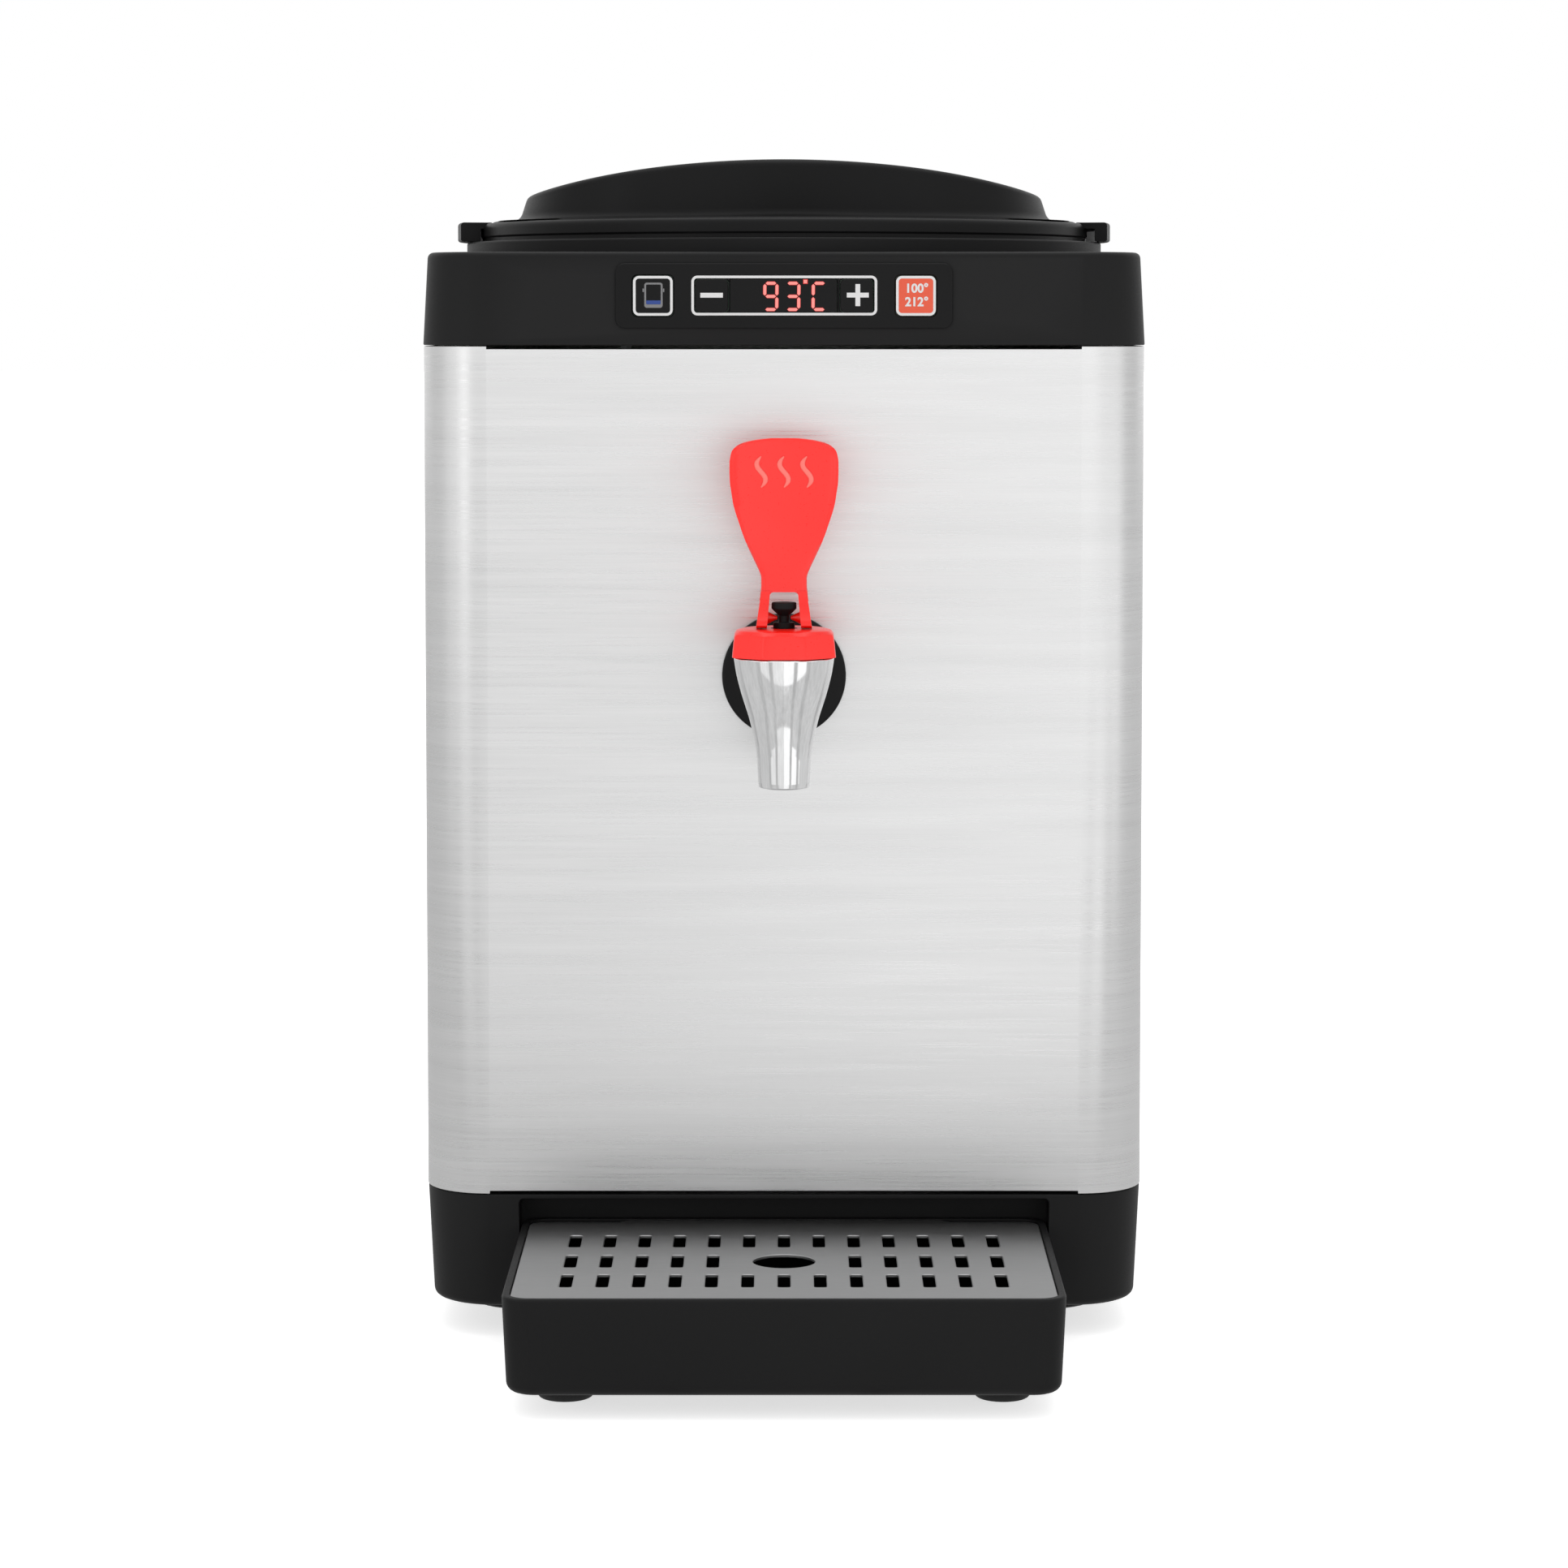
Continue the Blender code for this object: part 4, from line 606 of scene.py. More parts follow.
def build_rear():
    """Rear cover with vent slots, its screws, the mains inlet, the switch and the drain plug."""
    middle_z, half_z, half_x = (REAR_LOW.z + REAR_HIGH.z) / 2, (REAR_HIGH.z - REAR_LOW.z) / 2, REAR_HIGH.x
    loops = [lambda inset: rounded(half_x - inset, middle_z - half_z + inset, middle_z + half_z - inset,
        0.006 - inset)]

    def slot_loop(x, z):
        return lambda inset: rounded(0.0022 + inset, z - 0.013 - inset, z + 0.013 + inset, 0.0021 + inset,
            5, x)

    for z in (0.095, 0.312):
        loops += [slot_loop(0.014 * k, z) for k in range(-4, 5)]
    panel = plate_solid("rear_cover", loops, REAR_LOW.y, REAR_HIGH.y, 0.0003, lambda u, v, w: (u, w, v))
    piece(panel, "brushed_steel", "root", "brushed_steel", "rear_panel")
    for number in range(1, 7):
        lo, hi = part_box("rear_screw_%d" % number)
        x, z, seat = (lo.x + hi.x) / 2, (lo.z + hi.z) / 2, REAR_HIGH.y + GAP
        profile = soften([(0, seat + 0.0018, 0), (0.0029, seat + 0.0018, 0.0012), (0.0034, seat, 0.0002),
            (0.0016, seat, 0), (0.0016, seat - 0.0090, 0.0006), (0, seat - 0.0090, 0)], 5)
        screw = turned_solid("rear_screw_head_%d" % number, profile, (x, z), "Y", 40)
        turn = 0.35 * number
        for arm in (0.0, pi / 2):
            c, s = cos(turn + arm), sin(turn + arm)
            rings = []
            for y, w in ((seat + 0.0005, 0.0010), (seat + 0.003, 0.0024)):
                slot = ((-w, -0.0004), (w, -0.0004), (w, 0.0004), (-w, 0.0004))
                rings.append([(x + a * c - b * s, y, z + a * s + b * c) for a, b in slot])
            combine(screw, [ring_solid("blade", rings)])
        piece(screw, "zinc_steel", "root", "zinc_steel", "rear_screw_%d" % number)
    build_ports()


def build_ports():
    lo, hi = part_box("power_inlet")
    face, x = hi.y, (lo.x + hi.x) / 2
    half_x, half_z = (hi.x - lo.x) / 2, (hi.z - lo.z) / 2

    def outer(inset):
        return rounded(half_x - inset, PORT_Z - half_z + inset, PORT_Z + half_z - inset, 0.0010 + inset, 4,
            x)

    def socket(grow):
        w, h, cut = 0.012 + grow, 0.008 + grow, 0.0045
        return soften([(x + w, PORT_Z - h, 0.0008), (x + w, PORT_Z + h - cut, 0.0008),
            (x + w - cut, PORT_Z + h, 0.0008), (x - w + cut, PORT_Z + h, 0.0008),
            (x - w, PORT_Z + h - cut, 0.0008), (x - w, PORT_Z - h, 0.0008)], 4)

    count = len(socket(0))
    ring = lambda inset: resampled(outer(inset), (x, PORT_Z), count)
    rings = [upright(ring(0.0), lo.y), upright(ring(0.0), face - 0.0006), upright(ring(0.0006), face),
        upright(resampled(socket(0.0005), (x, PORT_Z), count), face),
        upright(resampled(socket(0.0), (x, PORT_Z), count), face - 0.0006),
        upright(resampled(socket(0.0), (x, PORT_Z), count), face - 0.018)]
    inlet = ring_solid("mains_inlet", rings)
    piece(inlet, "black_plastic", "root", "black_plastic", "power_inlet")
    pins = bmesh.new()
    for dx, dz in ((-0.007, -0.002), (0.0, 0.002), (0.007, -0.002)):
        blade = []
        for t, y in ((0.0, face - 0.0185), (0.0, face - 0.0070), (0.0005, face - 0.0065)):
            low, high = PORT_Z + dz - 0.002 + t, PORT_Z + dz + 0.002 - t
            blade.append(upright(rounded(0.0010 - t, low, high, 0.0008, 3, x + dx), y))
        add_rings(pins, blade)
    piece(add_object("mains_inlet_pins", pins), "copper_pin", "root", "zinc_steel")
    lo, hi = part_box("switch_frame")
    x, half_x, half_z = (lo.x + hi.x) / 2, (hi.x - lo.x) / 2, (hi.z - lo.z) / 2
    outer_ring = lambda inset: rounded(half_x - inset, PORT_Z - half_z + inset, PORT_Z + half_z - inset,
        0.0012, 5, x)
    well_ring = lambda grow: rounded(0.0058 + grow, PORT_Z - 0.0093 - grow, PORT_Z + 0.0093 + grow, 0.0008,
        5, x)
    rings = [upright(outer_ring(0.0), lo.y), upright(outer_ring(0.0), face - 0.0006),
        upright(outer_ring(0.0006), face), upright(well_ring(0.0004), face),
        upright(well_ring(0.0), face - 0.0005), upright(well_ring(0.0), face - 0.0125)]
    piece(ring_solid("switch_bezel", rings), "black_plastic", "root", "black_plastic", "switch_frame")
    build_rocker(x)
    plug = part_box("drain_plug")[1].y
    profile = soften([(0, 0.1760, 0), (0.0050, 0.1760, 0.0003), (0.0064, 0.1775, 0.0003),
        (0.0064, plug, 0.0006), (0.0046, plug, 0.0003), (0.0040, plug - 0.003, 0.0003),
        (0, plug - 0.003, 0)], 4)
    drain = turned_solid("drain_cap", profile, (0.0, PORT_Z), "Y", 48)
    grip = block_solid("grip", (-0.0034, 0.0034), (plug - 0.0050, plug - 0.001),
        (PORT_Z - 0.0008, PORT_Z + 0.0008))
    combine(drain, [grip])
    piece(drain, "black_plastic", "root", "black_plastic", "drain_plug")


def resampled(outline, centre, count):
    """The outline's points where `count` evenly turned rays from the centre meet it."""
    cx, cy = centre
    out = []
    for k in range(count):
        angle = 2 * pi * k / count
        c, s = cos(angle), sin(angle)
        best = None
        for (x0, y0), (x1, y1) in zip(outline, outline[1:] + outline[:1]):
            dx, dy = x1 - x0, y1 - y0
            det = c * -dy + dx * s
            if abs(det) < 1e-15:
                continue
            t = ((x0 - cx) * -dy + dx * (y0 - cy)) / det
            w = (c * (y0 - cy) - s * (x0 - cx)) / det
            if t > 0 and -1e-6 <= w <= 1 + 1e-6 and (best is None or t < best):
                best = t
        out.append((cx + best * c, cy + best * s))
    return out


def build_rocker(x):
    joint = JOINTS["rocker_tilt"]
    pivot_y = joint["pos_m"][1]
    tilt, half, front, dip = radians(-7), 0.0082, 0.0038, 0.0010
    side_view = soften([(-0.0030, -half * 0.55, 0.0004), (front * 0.2, -half, 0.0005),
        (front, -half, 0.0006), (front - dip, 0.0, 0.010), (front, half, 0.0006),
        (front * 0.2, half, 0.0005), (-0.0030, half * 0.55, 0.0004)], 5)

    def ring(x_place, shrink):
        return [(x_place, pivot_y + dy * shrink * cos(tilt) - dz * shrink * sin(tilt),
            PORT_Z + dy * shrink * sin(tilt) + dz * shrink * cos(tilt)) for dy, dz in side_view]

    rings = [ring(x + place, shrink) for place, shrink in ((-0.0053, 0.95), (-0.0050, 1.0), (0.0050, 1.0),
        (0.0053, 0.95))]
    rocker = ring_solid("switch_rocker", rings, smooth=40)
    piece(rocker, "black_plastic", "rocker", "black_plastic", "power_switch")
    marks = bmesh.new()

    def on_face(u, v, w):
        dy, dz = front - dip * max(0.0, 1 - abs(v) / half) + 0.00002 + w, v
        return (x + u, pivot_y + dy * cos(tilt) - dz * sin(tilt), PORT_Z + dy * sin(tilt) + dz * cos(tilt))

    add_plate(marks, [lambda inset: rounded(0.0003 - inset, 0.0032 + inset, 0.0062 - inset, 0.0001, 2)],
        -0.0002, 0.00004, 0.00001, on_face)
    ring_at = lambda r: [(r * cos(2 * pi * k / 32), -0.0047 + r * sin(2 * pi * k / 32)) for k in range(32)]
    add_plate(marks, [lambda inset: ring_at(0.0017 - inset), lambda inset: ring_at(0.0012 + inset)],
        -0.0002, 0.00004, 0.00001, on_face)
    piece(add_object("switch_marks", marks), "print_white", "rocker", "black_plastic")


# ---- Lid ------------------------------------------------------------------
def ray_to_rounded(angle, half_x, half_y, radius):
    """Distance from the middle of a rounded rectangle to its edge."""
    c, s = abs(cos(angle)), abs(sin(angle))
    if s * half_x <= c * (half_y - radius):
        return half_x / c
    if c * half_y <= s * (half_x - radius):
        return half_y / s
    across, along = half_x - radius, half_y - radius
    middle = c * across + s * along
    return middle + sqrt(middle ** 2 - across ** 2 - along ** 2 + radius ** 2)


def arch(x):
    return LID_HIGH.z - (ARCH_RADIUS - sqrt(ARCH_RADIUS ** 2 - x ** 2))


def dome_side(angle):
    """(distance from the axis, height) up the side of the dome: a flared foot and a soft top edge."""
    reach = ray_to_rounded(angle, *DOME)
    height = arch(reach * cos(angle)) - LID_TOP
    inward = arch((reach - 0.012) * cos(angle)) - LID_TOP
    side = soften([(-0.0085, 0.0, 0), (-0.0002, 0.0, 0.0042), (0.0028, height, 0.0030), (0.012, inward, 0)],
        7, closed=False)
    scoop = 0.0022 * exp(-(reach * cos(angle) / 0.022) ** 2) if sin(angle) < 0 else 0.0
    out = []
    for inset, z in side[:-1]:
        dent = scoop * exp(-((z - 0.003) / 0.0045) ** 2) * (1 if z < height - 0.003 else 0)
        out.append((reach - inset - dent, LID_TOP + z))
    return out


def build_lid():
    steps = 144
    angles = [2 * pi * k / steps for k in range(steps)]
    sides = [dome_side(angle) for angle in angles]
    rings = [[(0.0, BODY_Y, LID_HIGH.z)]]
    for scale in (0.25, 0.5, 0.75, 0.93):
        ring = []
        for angle, side in zip(angles, sides):
            r = scale * side[-1][0]
            ring.append((r * cos(angle), BODY_Y + r * sin(angle), arch(r * cos(angle))))
        rings.append(ring)
    for i in range(len(sides[0]) - 1, -1, -1):
        ring = []
        for a, side in zip(angles, sides):
            r, z = side[i]
            ring.append((r * cos(a), BODY_Y + r * sin(a), z))
        rings.append(ring)
    rest, bore, inside_top = HOUSING_TOP + GAP, LID_RADIUS - 0.0025, LID_TOP - 0.0025
    rim = soften([(LID_RADIUS - 0.0048, LID_TOP, 0), (LID_RADIUS - 0.0044, LID_TOP - 0.0006, 0.0003),
        (LID_RADIUS, LID_TOP - 0.0006, 0.0024), (LID_RADIUS, 0.3985, 0.0004),
        (LID_RADIUS - 0.0006, 0.3979, 0.0004), (LID_RADIUS - 0.0006, 0.3968, 0.0004),
        (LID_RADIUS, 0.3962, 0.0004), (LID_RADIUS, rest, 0.0005), (bore, rest, 0.0005),
        (bore, inside_top, 0.0010), (bore - 0.008, inside_top, 0)], 4, closed=False)
    for r, z in rim:
        rings.append([(r * cos(a), BODY_Y + r * sin(a), z) for a in angles])

    def under(inset, below=None, z=None, scale=1.0):
        ring = []
        for a in angles:
            r = scale * ray_to_rounded(a, DOME[0] - inset, DOME[1] - inset, DOME[2])
            x = r * cos(a)
            ring.append((x, BODY_Y + r * sin(a), arch(x) - below if z is None else z))
        return ring

    rings += [under(0.0030, z=inside_top), under(0.0055, below=0.0060), under(0.0072, below=0.0035),
        under(0.0100, below=0.0025), under(0.0100, below=0.0025, scale=0.5),
        [(0.0, BODY_Y, LID_HIGH.z - 0.0025)]]
    lid = ring_solid("lid", rings, smooth=40)
    ears = []
    for middle, lip in ((180, 0.0076), (0, 0.0047)):
        inner, foot, top = EAR_RADIUS - lip, HOUSING_HIGH.z + GAP, LID_TOP - 0.0003
        section = soften([(LID_RADIUS - 0.0030, LID_TOP - 0.0026, 0), (LID_RADIUS - 0.0030, top, 0),
            (EAR_RADIUS, top, 0.0012), (EAR_RADIUS, foot, 0.0008), (inner, foot, 0.0004),
            (inner, LID_TOP - 0.0026, 0.0004)], 4)
        sweep = []
        for k in range(17):
            turn = radians(middle - 12 + 1.5 * k)
            sweep.append([(r * cos(turn), BODY_Y + r * sin(turn), z) for r, z in section])
        ears.append(ring_solid("ear_%d" % middle, sweep))
    combine(lid, ears, "UNION", 40)
    piece(lid, "lid_plastic", "lid", "black_plastic", "lid_shell")
    plug = MOUTH_RADIUS - 0.0045
    liner = soften([(0, 0.383, 0), (plug, 0.383, 0.0015), (plug, rest + GAP, 0),
        (bore - 0.0005, rest + GAP, 0.0004), (bore - 0.0005, 0.394, 0.0004), (0, 0.394, 0)], 4)
    piece(turned_solid("lid_plug", liner, (0.0, BODY_Y), "Z", 144), "black_plastic", "lid", "black_plastic",
        "lid_liner")
    edge = MOUTH_RADIUS - 0.0006
    seal = soften([(plug + GAP, 0.3850, 0), (edge, 0.3853, 0.0006), (edge - 0.0008, 0.3866, 0.0004),
        (edge, 0.3879, 0.0006), (plug + GAP, 0.3882, 0)], 4)
    piece(turned_solid("lid_ring", seal, (0.0, BODY_Y), "Z", 144), "silicone", "lid", "silicone",
        "lid_seal")


# ---- Control panel --------------------------------------------------------
KEYS = {                                # body, middle in X, half width, half height
    "key_level": ("level_key", -0.04655, 0.00705, 0.00705),
    "key_minus": ("minus_key", -0.02570, 0.0058, 0.0059),
    "key_plus": ("plus_key", 0.02580, 0.0058, 0.0059),
    "key_boil": ("boil_key", 0.04685, 0.00705, 0.00705)}
WINDOW_X, WINDOW_HALF_X, WINDOW_HALF_Z = -0.00015, 0.0190, 0.0059
PRINT = 0.00006                         # how far the printed marks stand proud
MARK_ROOT = 0.00003                     # and how deep they are rooted in the plastic
MARK_BEVEL = 0.00002
PRINT_CORNER = 0.0021


def across(u, v, w):
    """A plate that stands across the front: w runs towards the user."""
    return (u, -w, v)


def frame_loop(x0, x1, z0, z1, radius):
    middle, half = (x0 + x1) / 2, (x1 - x0) / 2
    return lambda inset: rounded(half - inset, z0 + inset, z1 - inset, max(radius - inset, 0.0002), 6,
        middle)


def hole_loop(x0, x1, z0, z1, radius):
    middle, half = (x0 + x1) / 2, (x1 - x0) / 2
    return lambda inset: rounded(half + inset, z0 - inset, z1 + inset, radius + inset, 6, middle)


def add_line_frame(bm, x0, x1, z0, z1, radius, width, front):
    loops = [frame_loop(x0, x1, z0, z1, radius), hole_loop(x0 + width, x1 - width, z0 + width, z1 - width,
        max(radius - width, 0.0003))]
    add_plate(bm, loops, -front - MARK_ROOT, -front + PRINT, MARK_BEVEL, across)


def add_mark(bm, outline, front):
    """Small printed shape from a fixed outline."""
    middle_u = sum(p[0] for p in outline) / len(outline)
    middle_v = sum(p[1] for p in outline) / len(outline)

    def loop(inset):
        scale = 1 - inset / 0.0006
        return [(middle_u + (u - middle_u) * scale, middle_v + (v - middle_v) * scale) for u, v in outline]

    add_plate(bm, [loop], -front - MARK_ROOT, -front + PRINT, MARK_BEVEL, across)


def bar(x0, x1, z0, z1):
    return [(x1, z0), (x1, z1), (x0, z1), (x0, z0)]


def build_panel():
    loops = [frame_loop(PANEL_LOW.x, PANEL_HIGH.x, PANEL_LOW.z, PANEL_HIGH.z, 0.0035)]
    for _, x, half_x, half_z in KEYS.values():
        loops.append(hole_loop(x - half_x - GAP, x + half_x + GAP, PANEL_Z - half_z - GAP,
            PANEL_Z + half_z + GAP, 0.0018))
    loops.append(hole_loop(WINDOW_X - WINDOW_HALF_X - 0.00012, WINDOW_X + WINDOW_HALF_X + 0.00012,
        PANEL_Z - WINDOW_HALF_Z - 0.00012, PANEL_Z + WINDOW_HALF_Z + 0.00012, 0.0006))
    panel = plate_solid("panel_overlay", loops, -PANEL_HIGH.y, -PANEL_LOW.y, 0.00025, across)
    piece(panel, "gloss_black", "root", "gloss_black", "control_panel")
    for node, (body, x, half_x, half_z) in KEYS.items():
        lo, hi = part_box(node)
        key = plate_solid(node + "_cap", [frame_loop(x - half_x, x + half_x, PANEL_Z - half_z,
            PANEL_Z + half_z, PRINT_CORNER)], -hi.y, -lo.y, 0.0002, across)
        boil = node == "key_boil"
        piece(key, "orange_plastic" if boil else "gloss_black", body,
            "orange_plastic" if boil else "gloss_black", node)
    window = plate_solid("display_glass", [frame_loop(WINDOW_X - WINDOW_HALF_X, WINDOW_X + WINDOW_HALF_X,
        PANEL_Z - WINDOW_HALF_Z, PANEL_Z + WINDOW_HALF_Z, 0.0005)], -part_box("display_window")[1].y,
        -PANEL_LOW.y, 0.0001, across)
    piece(window, "gloss_black", "root", "gloss_black", "display_window")
    build_prints()


def mark_piece(name, outline, material, body):
    """Printed shape on the front of a key."""
    mark = one(name, lambda bm: add_mark(bm, outline, KEY_FRONT_Y))
    piece(mark, material, body, "gloss_black")


def build_prints():
    line = 0.00092
    middle = one("panel_frame", lambda bm: add_line_frame(bm, -0.0329, 0.0331, 0.3684, 0.3825, PRINT_CORNER,
        line, PANEL_LOW.y))
    piece(middle, "print_white", "root", "gloss_black")
    for node, label in (("key_level", "level"), ("key_boil", "boil")):
        body, x, half_x, half_z = KEYS[node]
        marks = bmesh.new()
        add_line_frame(marks, x - half_x, x + half_x, PANEL_Z - half_z, PANEL_Z + half_z, PRINT_CORNER,
            line, KEY_FRONT_Y)
        piece(add_object(label + "_key_frame", marks), "print_white", body, "gloss_black")
    mark_piece("minus_key_mark", bar(-0.0297, -0.0217, 0.3747, 0.3764), "print_white", "minus_key")
    x, z, arm, half = 0.0262, 0.3756, 0.0039, 0.00085
    cross = [(x + half, z - arm), (x + half, z - half), (x + arm, z - half), (x + arm, z + half),
        (x + half, z + half), (x + half, z + arm), (x - half, z + arm), (x - half, z + half),
        (x - arm, z + half), (x - arm, z - half), (x - half, z - half), (x - half, z - arm)]
    mark_piece("plus_key_mark", cross, "print_white", "plus_key")
    build_level_icon()
    build_digits()
    build_boil_numbers()


def build_level_icon():
    """Vessel with two small handles and a blue level, on the first key."""
    x0, x1, low, high, line = -0.0496, -0.0431, 0.3711, 0.3800, 0.00065
    grey = bmesh.new()
    outside = frame_loop(x0, x1, low, high, 0.0009)
    inside = hole_loop(x0 + line, x1 - line, low + 0.0012, high - line, 0.0004)
    add_plate(grey, [outside, inside], -KEY_FRONT_Y - MARK_ROOT, -KEY_FRONT_Y + PRINT, MARK_BEVEL, across)
    for side, x in ((-1, x0), (1, x1)):
        outer = x + side * 0.0006
        add_mark(grey, bar(min(outer, x + side * 0.0001), max(outer, x + side * 0.0001), 0.3767, 0.3779),
            KEY_FRONT_Y)
    piece(add_object("level_key_icon", grey), "print_grey", "level_key", "gloss_black")
    mark_piece("level_key_water", bar(x0 + line + 0.00005, x1 - line - 0.00005, low + 0.00125,
        low + 0.0026), "print_blue", "level_key")


def segment(x0, z0, x1, z1, width):
    """Bar from one point to another with pointed ends."""
    length = sqrt((x1 - x0) ** 2 + (z1 - z0) ** 2)
    ux, uz = (x1 - x0) / length, (z1 - z0) / length
    nx, nz = -uz * width / 2, ux * width / 2
    tip = width / 2
    return [(x0, z0), (x0 + ux * tip - nx, z0 + uz * tip - nz), (x1 - ux * tip - nx, z1 - uz * tip - nz),
        (x1, z1), (x1 - ux * tip + nx, z1 - uz * tip + nz), (x0 + ux * tip + nx, z0 + uz * tip + nz)]


def build_digits():
    """Seven-segment numbers: a lit face on a darker edge."""
    low, high, lean = 0.3700, 0.3803, 0.012
    gap = 0.00018
    shapes = {"nine": (-0.0074, "abcdfg"), "three": (0.0004, "abcdg"), "degrees": (0.0098, "adef")}
    face, edge = bmesh.new(), bmesh.new()
    for x, lit in shapes.values():
        left, right = x + 0.0005, x + 0.0048
        base, top = low + 0.0005, high - 0.0005
        middle = (base + top) / 2
        lines = {"a": (left, top, right, top), "b": (right, top, right, middle),
            "c": (right, middle, right, base), "d": (left, base, right, base),
            "e": (left, middle, left, base), "f": (left, top, left, middle),
            "g": (left, middle, right, middle)}
        for letter in lit:
            xa, za, xb, zb = lines[letter]
            span = sqrt((xb - xa) ** 2 + (zb - za) ** 2)
            ux, uz = (xb - xa) / span * gap, (zb - za) / span * gap
            for bm, width, height in ((edge, 0.00130, 0.0), (face, 0.00102, 0.00003)):
                shrink = 1.0 if bm is edge else 1.8
                outline = segment(xa + ux * shrink, za + uz * shrink, xb - ux * shrink, zb - uz * shrink,
                    width)
                outline = [(u + (v - low) * lean, v) for u, v in outline]
                add_mark(bm, outline, PANEL_LOW.y - height)
    for bm, half, height in ((edge, 0.00085, 0.0), (face, 0.00060, 0.00003)):
        add_mark(bm, bar(0.0076 - half, 0.0076 + half, 0.3804 - half, 0.3804 + half), PANEL_LOW.y - height)
    piece(add_object("display_digit_edges", edge), "digit_edge", "root", "gloss_black")
    piece(add_object("display_digits", face), "digit_light", "root", "gloss_black")


def build_boil_numbers():
    """Two plain numbers in degrees, on the boil key."""
    body, x, _, _ = KEYS["key_boil"]
    for number, (text, z) in enumerate((("100°", 0.37655), ("212°", 0.37175))):
        curve = bpy.data.curves.new("numbers", "FONT")
        curve.body = text
        curve.size = 0.0044
        curve.align_x = "CENTER"
        curve.offset = 0.00014
        curve.extrude = PRINT / 2
        curve.resolution_u = 4
        obj = bpy.data.objects.new("boil_key_numbers_%d" % (number + 1), curve)
        bpy.context.scene.collection.objects.link(obj)
        graph = bpy.context.evaluated_depsgraph_get()
        mesh = bpy.data.meshes.new_from_object(obj.evaluated_get(graph))
        bpy.data.objects.remove(obj, do_unlink=True)
        bm = bmesh.new()
        bm.from_mesh(mesh)
        bmesh.ops.remove_doubles(bm, verts=bm.verts, dist=1e-6)
        for vert in bm.verts:
            vert.co = Vector((x + 0.0003 + vert.co.x, KEY_FRONT_Y - vert.co.z, z + vert.co.y))
        piece(add_object("boil_key_numbers_%d" % (number + 1), bm), "print_white", body, "orange_plastic")


# ---- Tap ------------------------------------------------------------------
def build_tap():
    front, back = FLANGE_LOW.y, FLANGE_HIGH.y
    radius = FLANGE_HIGH.x
    profile = soften([(SHANK_RADIUS, back, 0), (radius, back, 0.0003), (radius, front + 0.0006, 0.0012),
        (radius - 0.0060, front, 0.004), (SHANK_RADIUS, front, 0)], 6)
    flange = turned_solid("tap_rose", profile, (0.0, TAP_AXIS_Z), "Y", 128)
    piece(flange, "lid_plastic", "root", "black_plastic", "tap_flange")
    top = BONNET_LOW.z - GAP
    outside = [(0.0070, 0.2059, 0.0002), (0.0086, 0.2064, 0.0004), (0.0089, 0.2080, 0.0010),
        (0.0094, 0.2170, 0.02), (0.0099, 0.2206, 0.03), (0.0117, 0.2294, 0.05), (0.0146, 0.2383, 0.06),
        (0.0164, 0.2450, 0.05), (0.0173, top, 0.0004)]
    inside = [(0.0135, top, 0.0002), (0.0118, 0.2420, 0.004), (0.0092, 0.2350, 0.001),
        (0.0092, 0.2310, 0.0003), (0.0055, 0.2310, 0.0003), (0.0055, 0.2280, 0.0003),
        (0.0063, 0.2250, 0.002), (0.0063, 0.2059, 0.0004)]
    body = turned_solid("tap_shell", soften(outside + inside, 6), (0.0, TAP_Y), "Z", 128, smooth=40)
    end = front - 0.0004
    neck = turned_solid("neck", soften([(0, TAP_Y + 0.0125, 0), (0.0098, TAP_Y + 0.0125, 0),
        (0.0098, end - 0.006, 0.002), (0.0104, end - 0.005, 0.001), (0.0104, end, 0.0005), (0, end, 0)],
        4), (0.0, TAP_AXIS_Z), "Y", 96)
    bore = turned_solid("bore", [(0, TAP_Y), (0.005, TAP_Y), (0.005, end + 0.005), (0, end + 0.005)],
        (0.0, TAP_AXIS_Z), "Y", 48)
    combine(body, [neck], "UNION", 40)
    combine(body, [bore], smooth=40)
    piece(body, "polished_steel", "root", "polished_steel", "tap_body")
    build_bonnet()
    build_spring()
    stem = soften([(0, 0.2353, 0), (0.0037, 0.2353, 0.0003), (0.0037, 0.2632, 0.0004),
        (0.00185, 0.2632, 0.0003), (0.00185, 0.2655, 0.0004), (0.0043, 0.2679, 0.0004),
        (0.0043, 0.2701, 0.0005), (0, 0.2701, 0)], 4)
    stem = turned_solid("tap_spindle", stem, (0.0, TAP_Y), "Z", 64)
    groove = block_solid("groove", (-0.006, 0.006), (TAP_Y - 0.0006, TAP_Y + 0.0006), (0.2690, 0.272))
    combine(stem, [groove])
    piece(stem, "black_plastic", "stem", "black_plastic", "tap_stem")


def build_spring():
    """Closing spring, which the cup presses together as the lever tips; the mesh is built at rest and keeps that
    shape.
    """
    coils, per_coil, sides, radius, wire = 4, 28, 10, 0.0058, 0.0005
    low, high = SPRING_SEAT + 0.0009, BONNET_CEILING - 0.0009
    rings = []
    for k in range(coils * per_coil + 1):
        turn = 2 * pi * k / per_coil
        z = low + (high - low) * k / (coils * per_coil)
        ring = []
        for j in range(sides):
            out, up = wire * cos(2 * pi * j / sides), wire * sin(2 * pi * j / sides)
            ring.append(((radius + out) * cos(turn), TAP_Y + (radius + out) * sin(turn), z + up))
        rings.append(ring)
    spring = ring_solid("valve_spring", rings, smooth=60)
    piece(spring, "zinc_steel", "root", "zinc_steel", "tap_spring")
    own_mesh(spring)


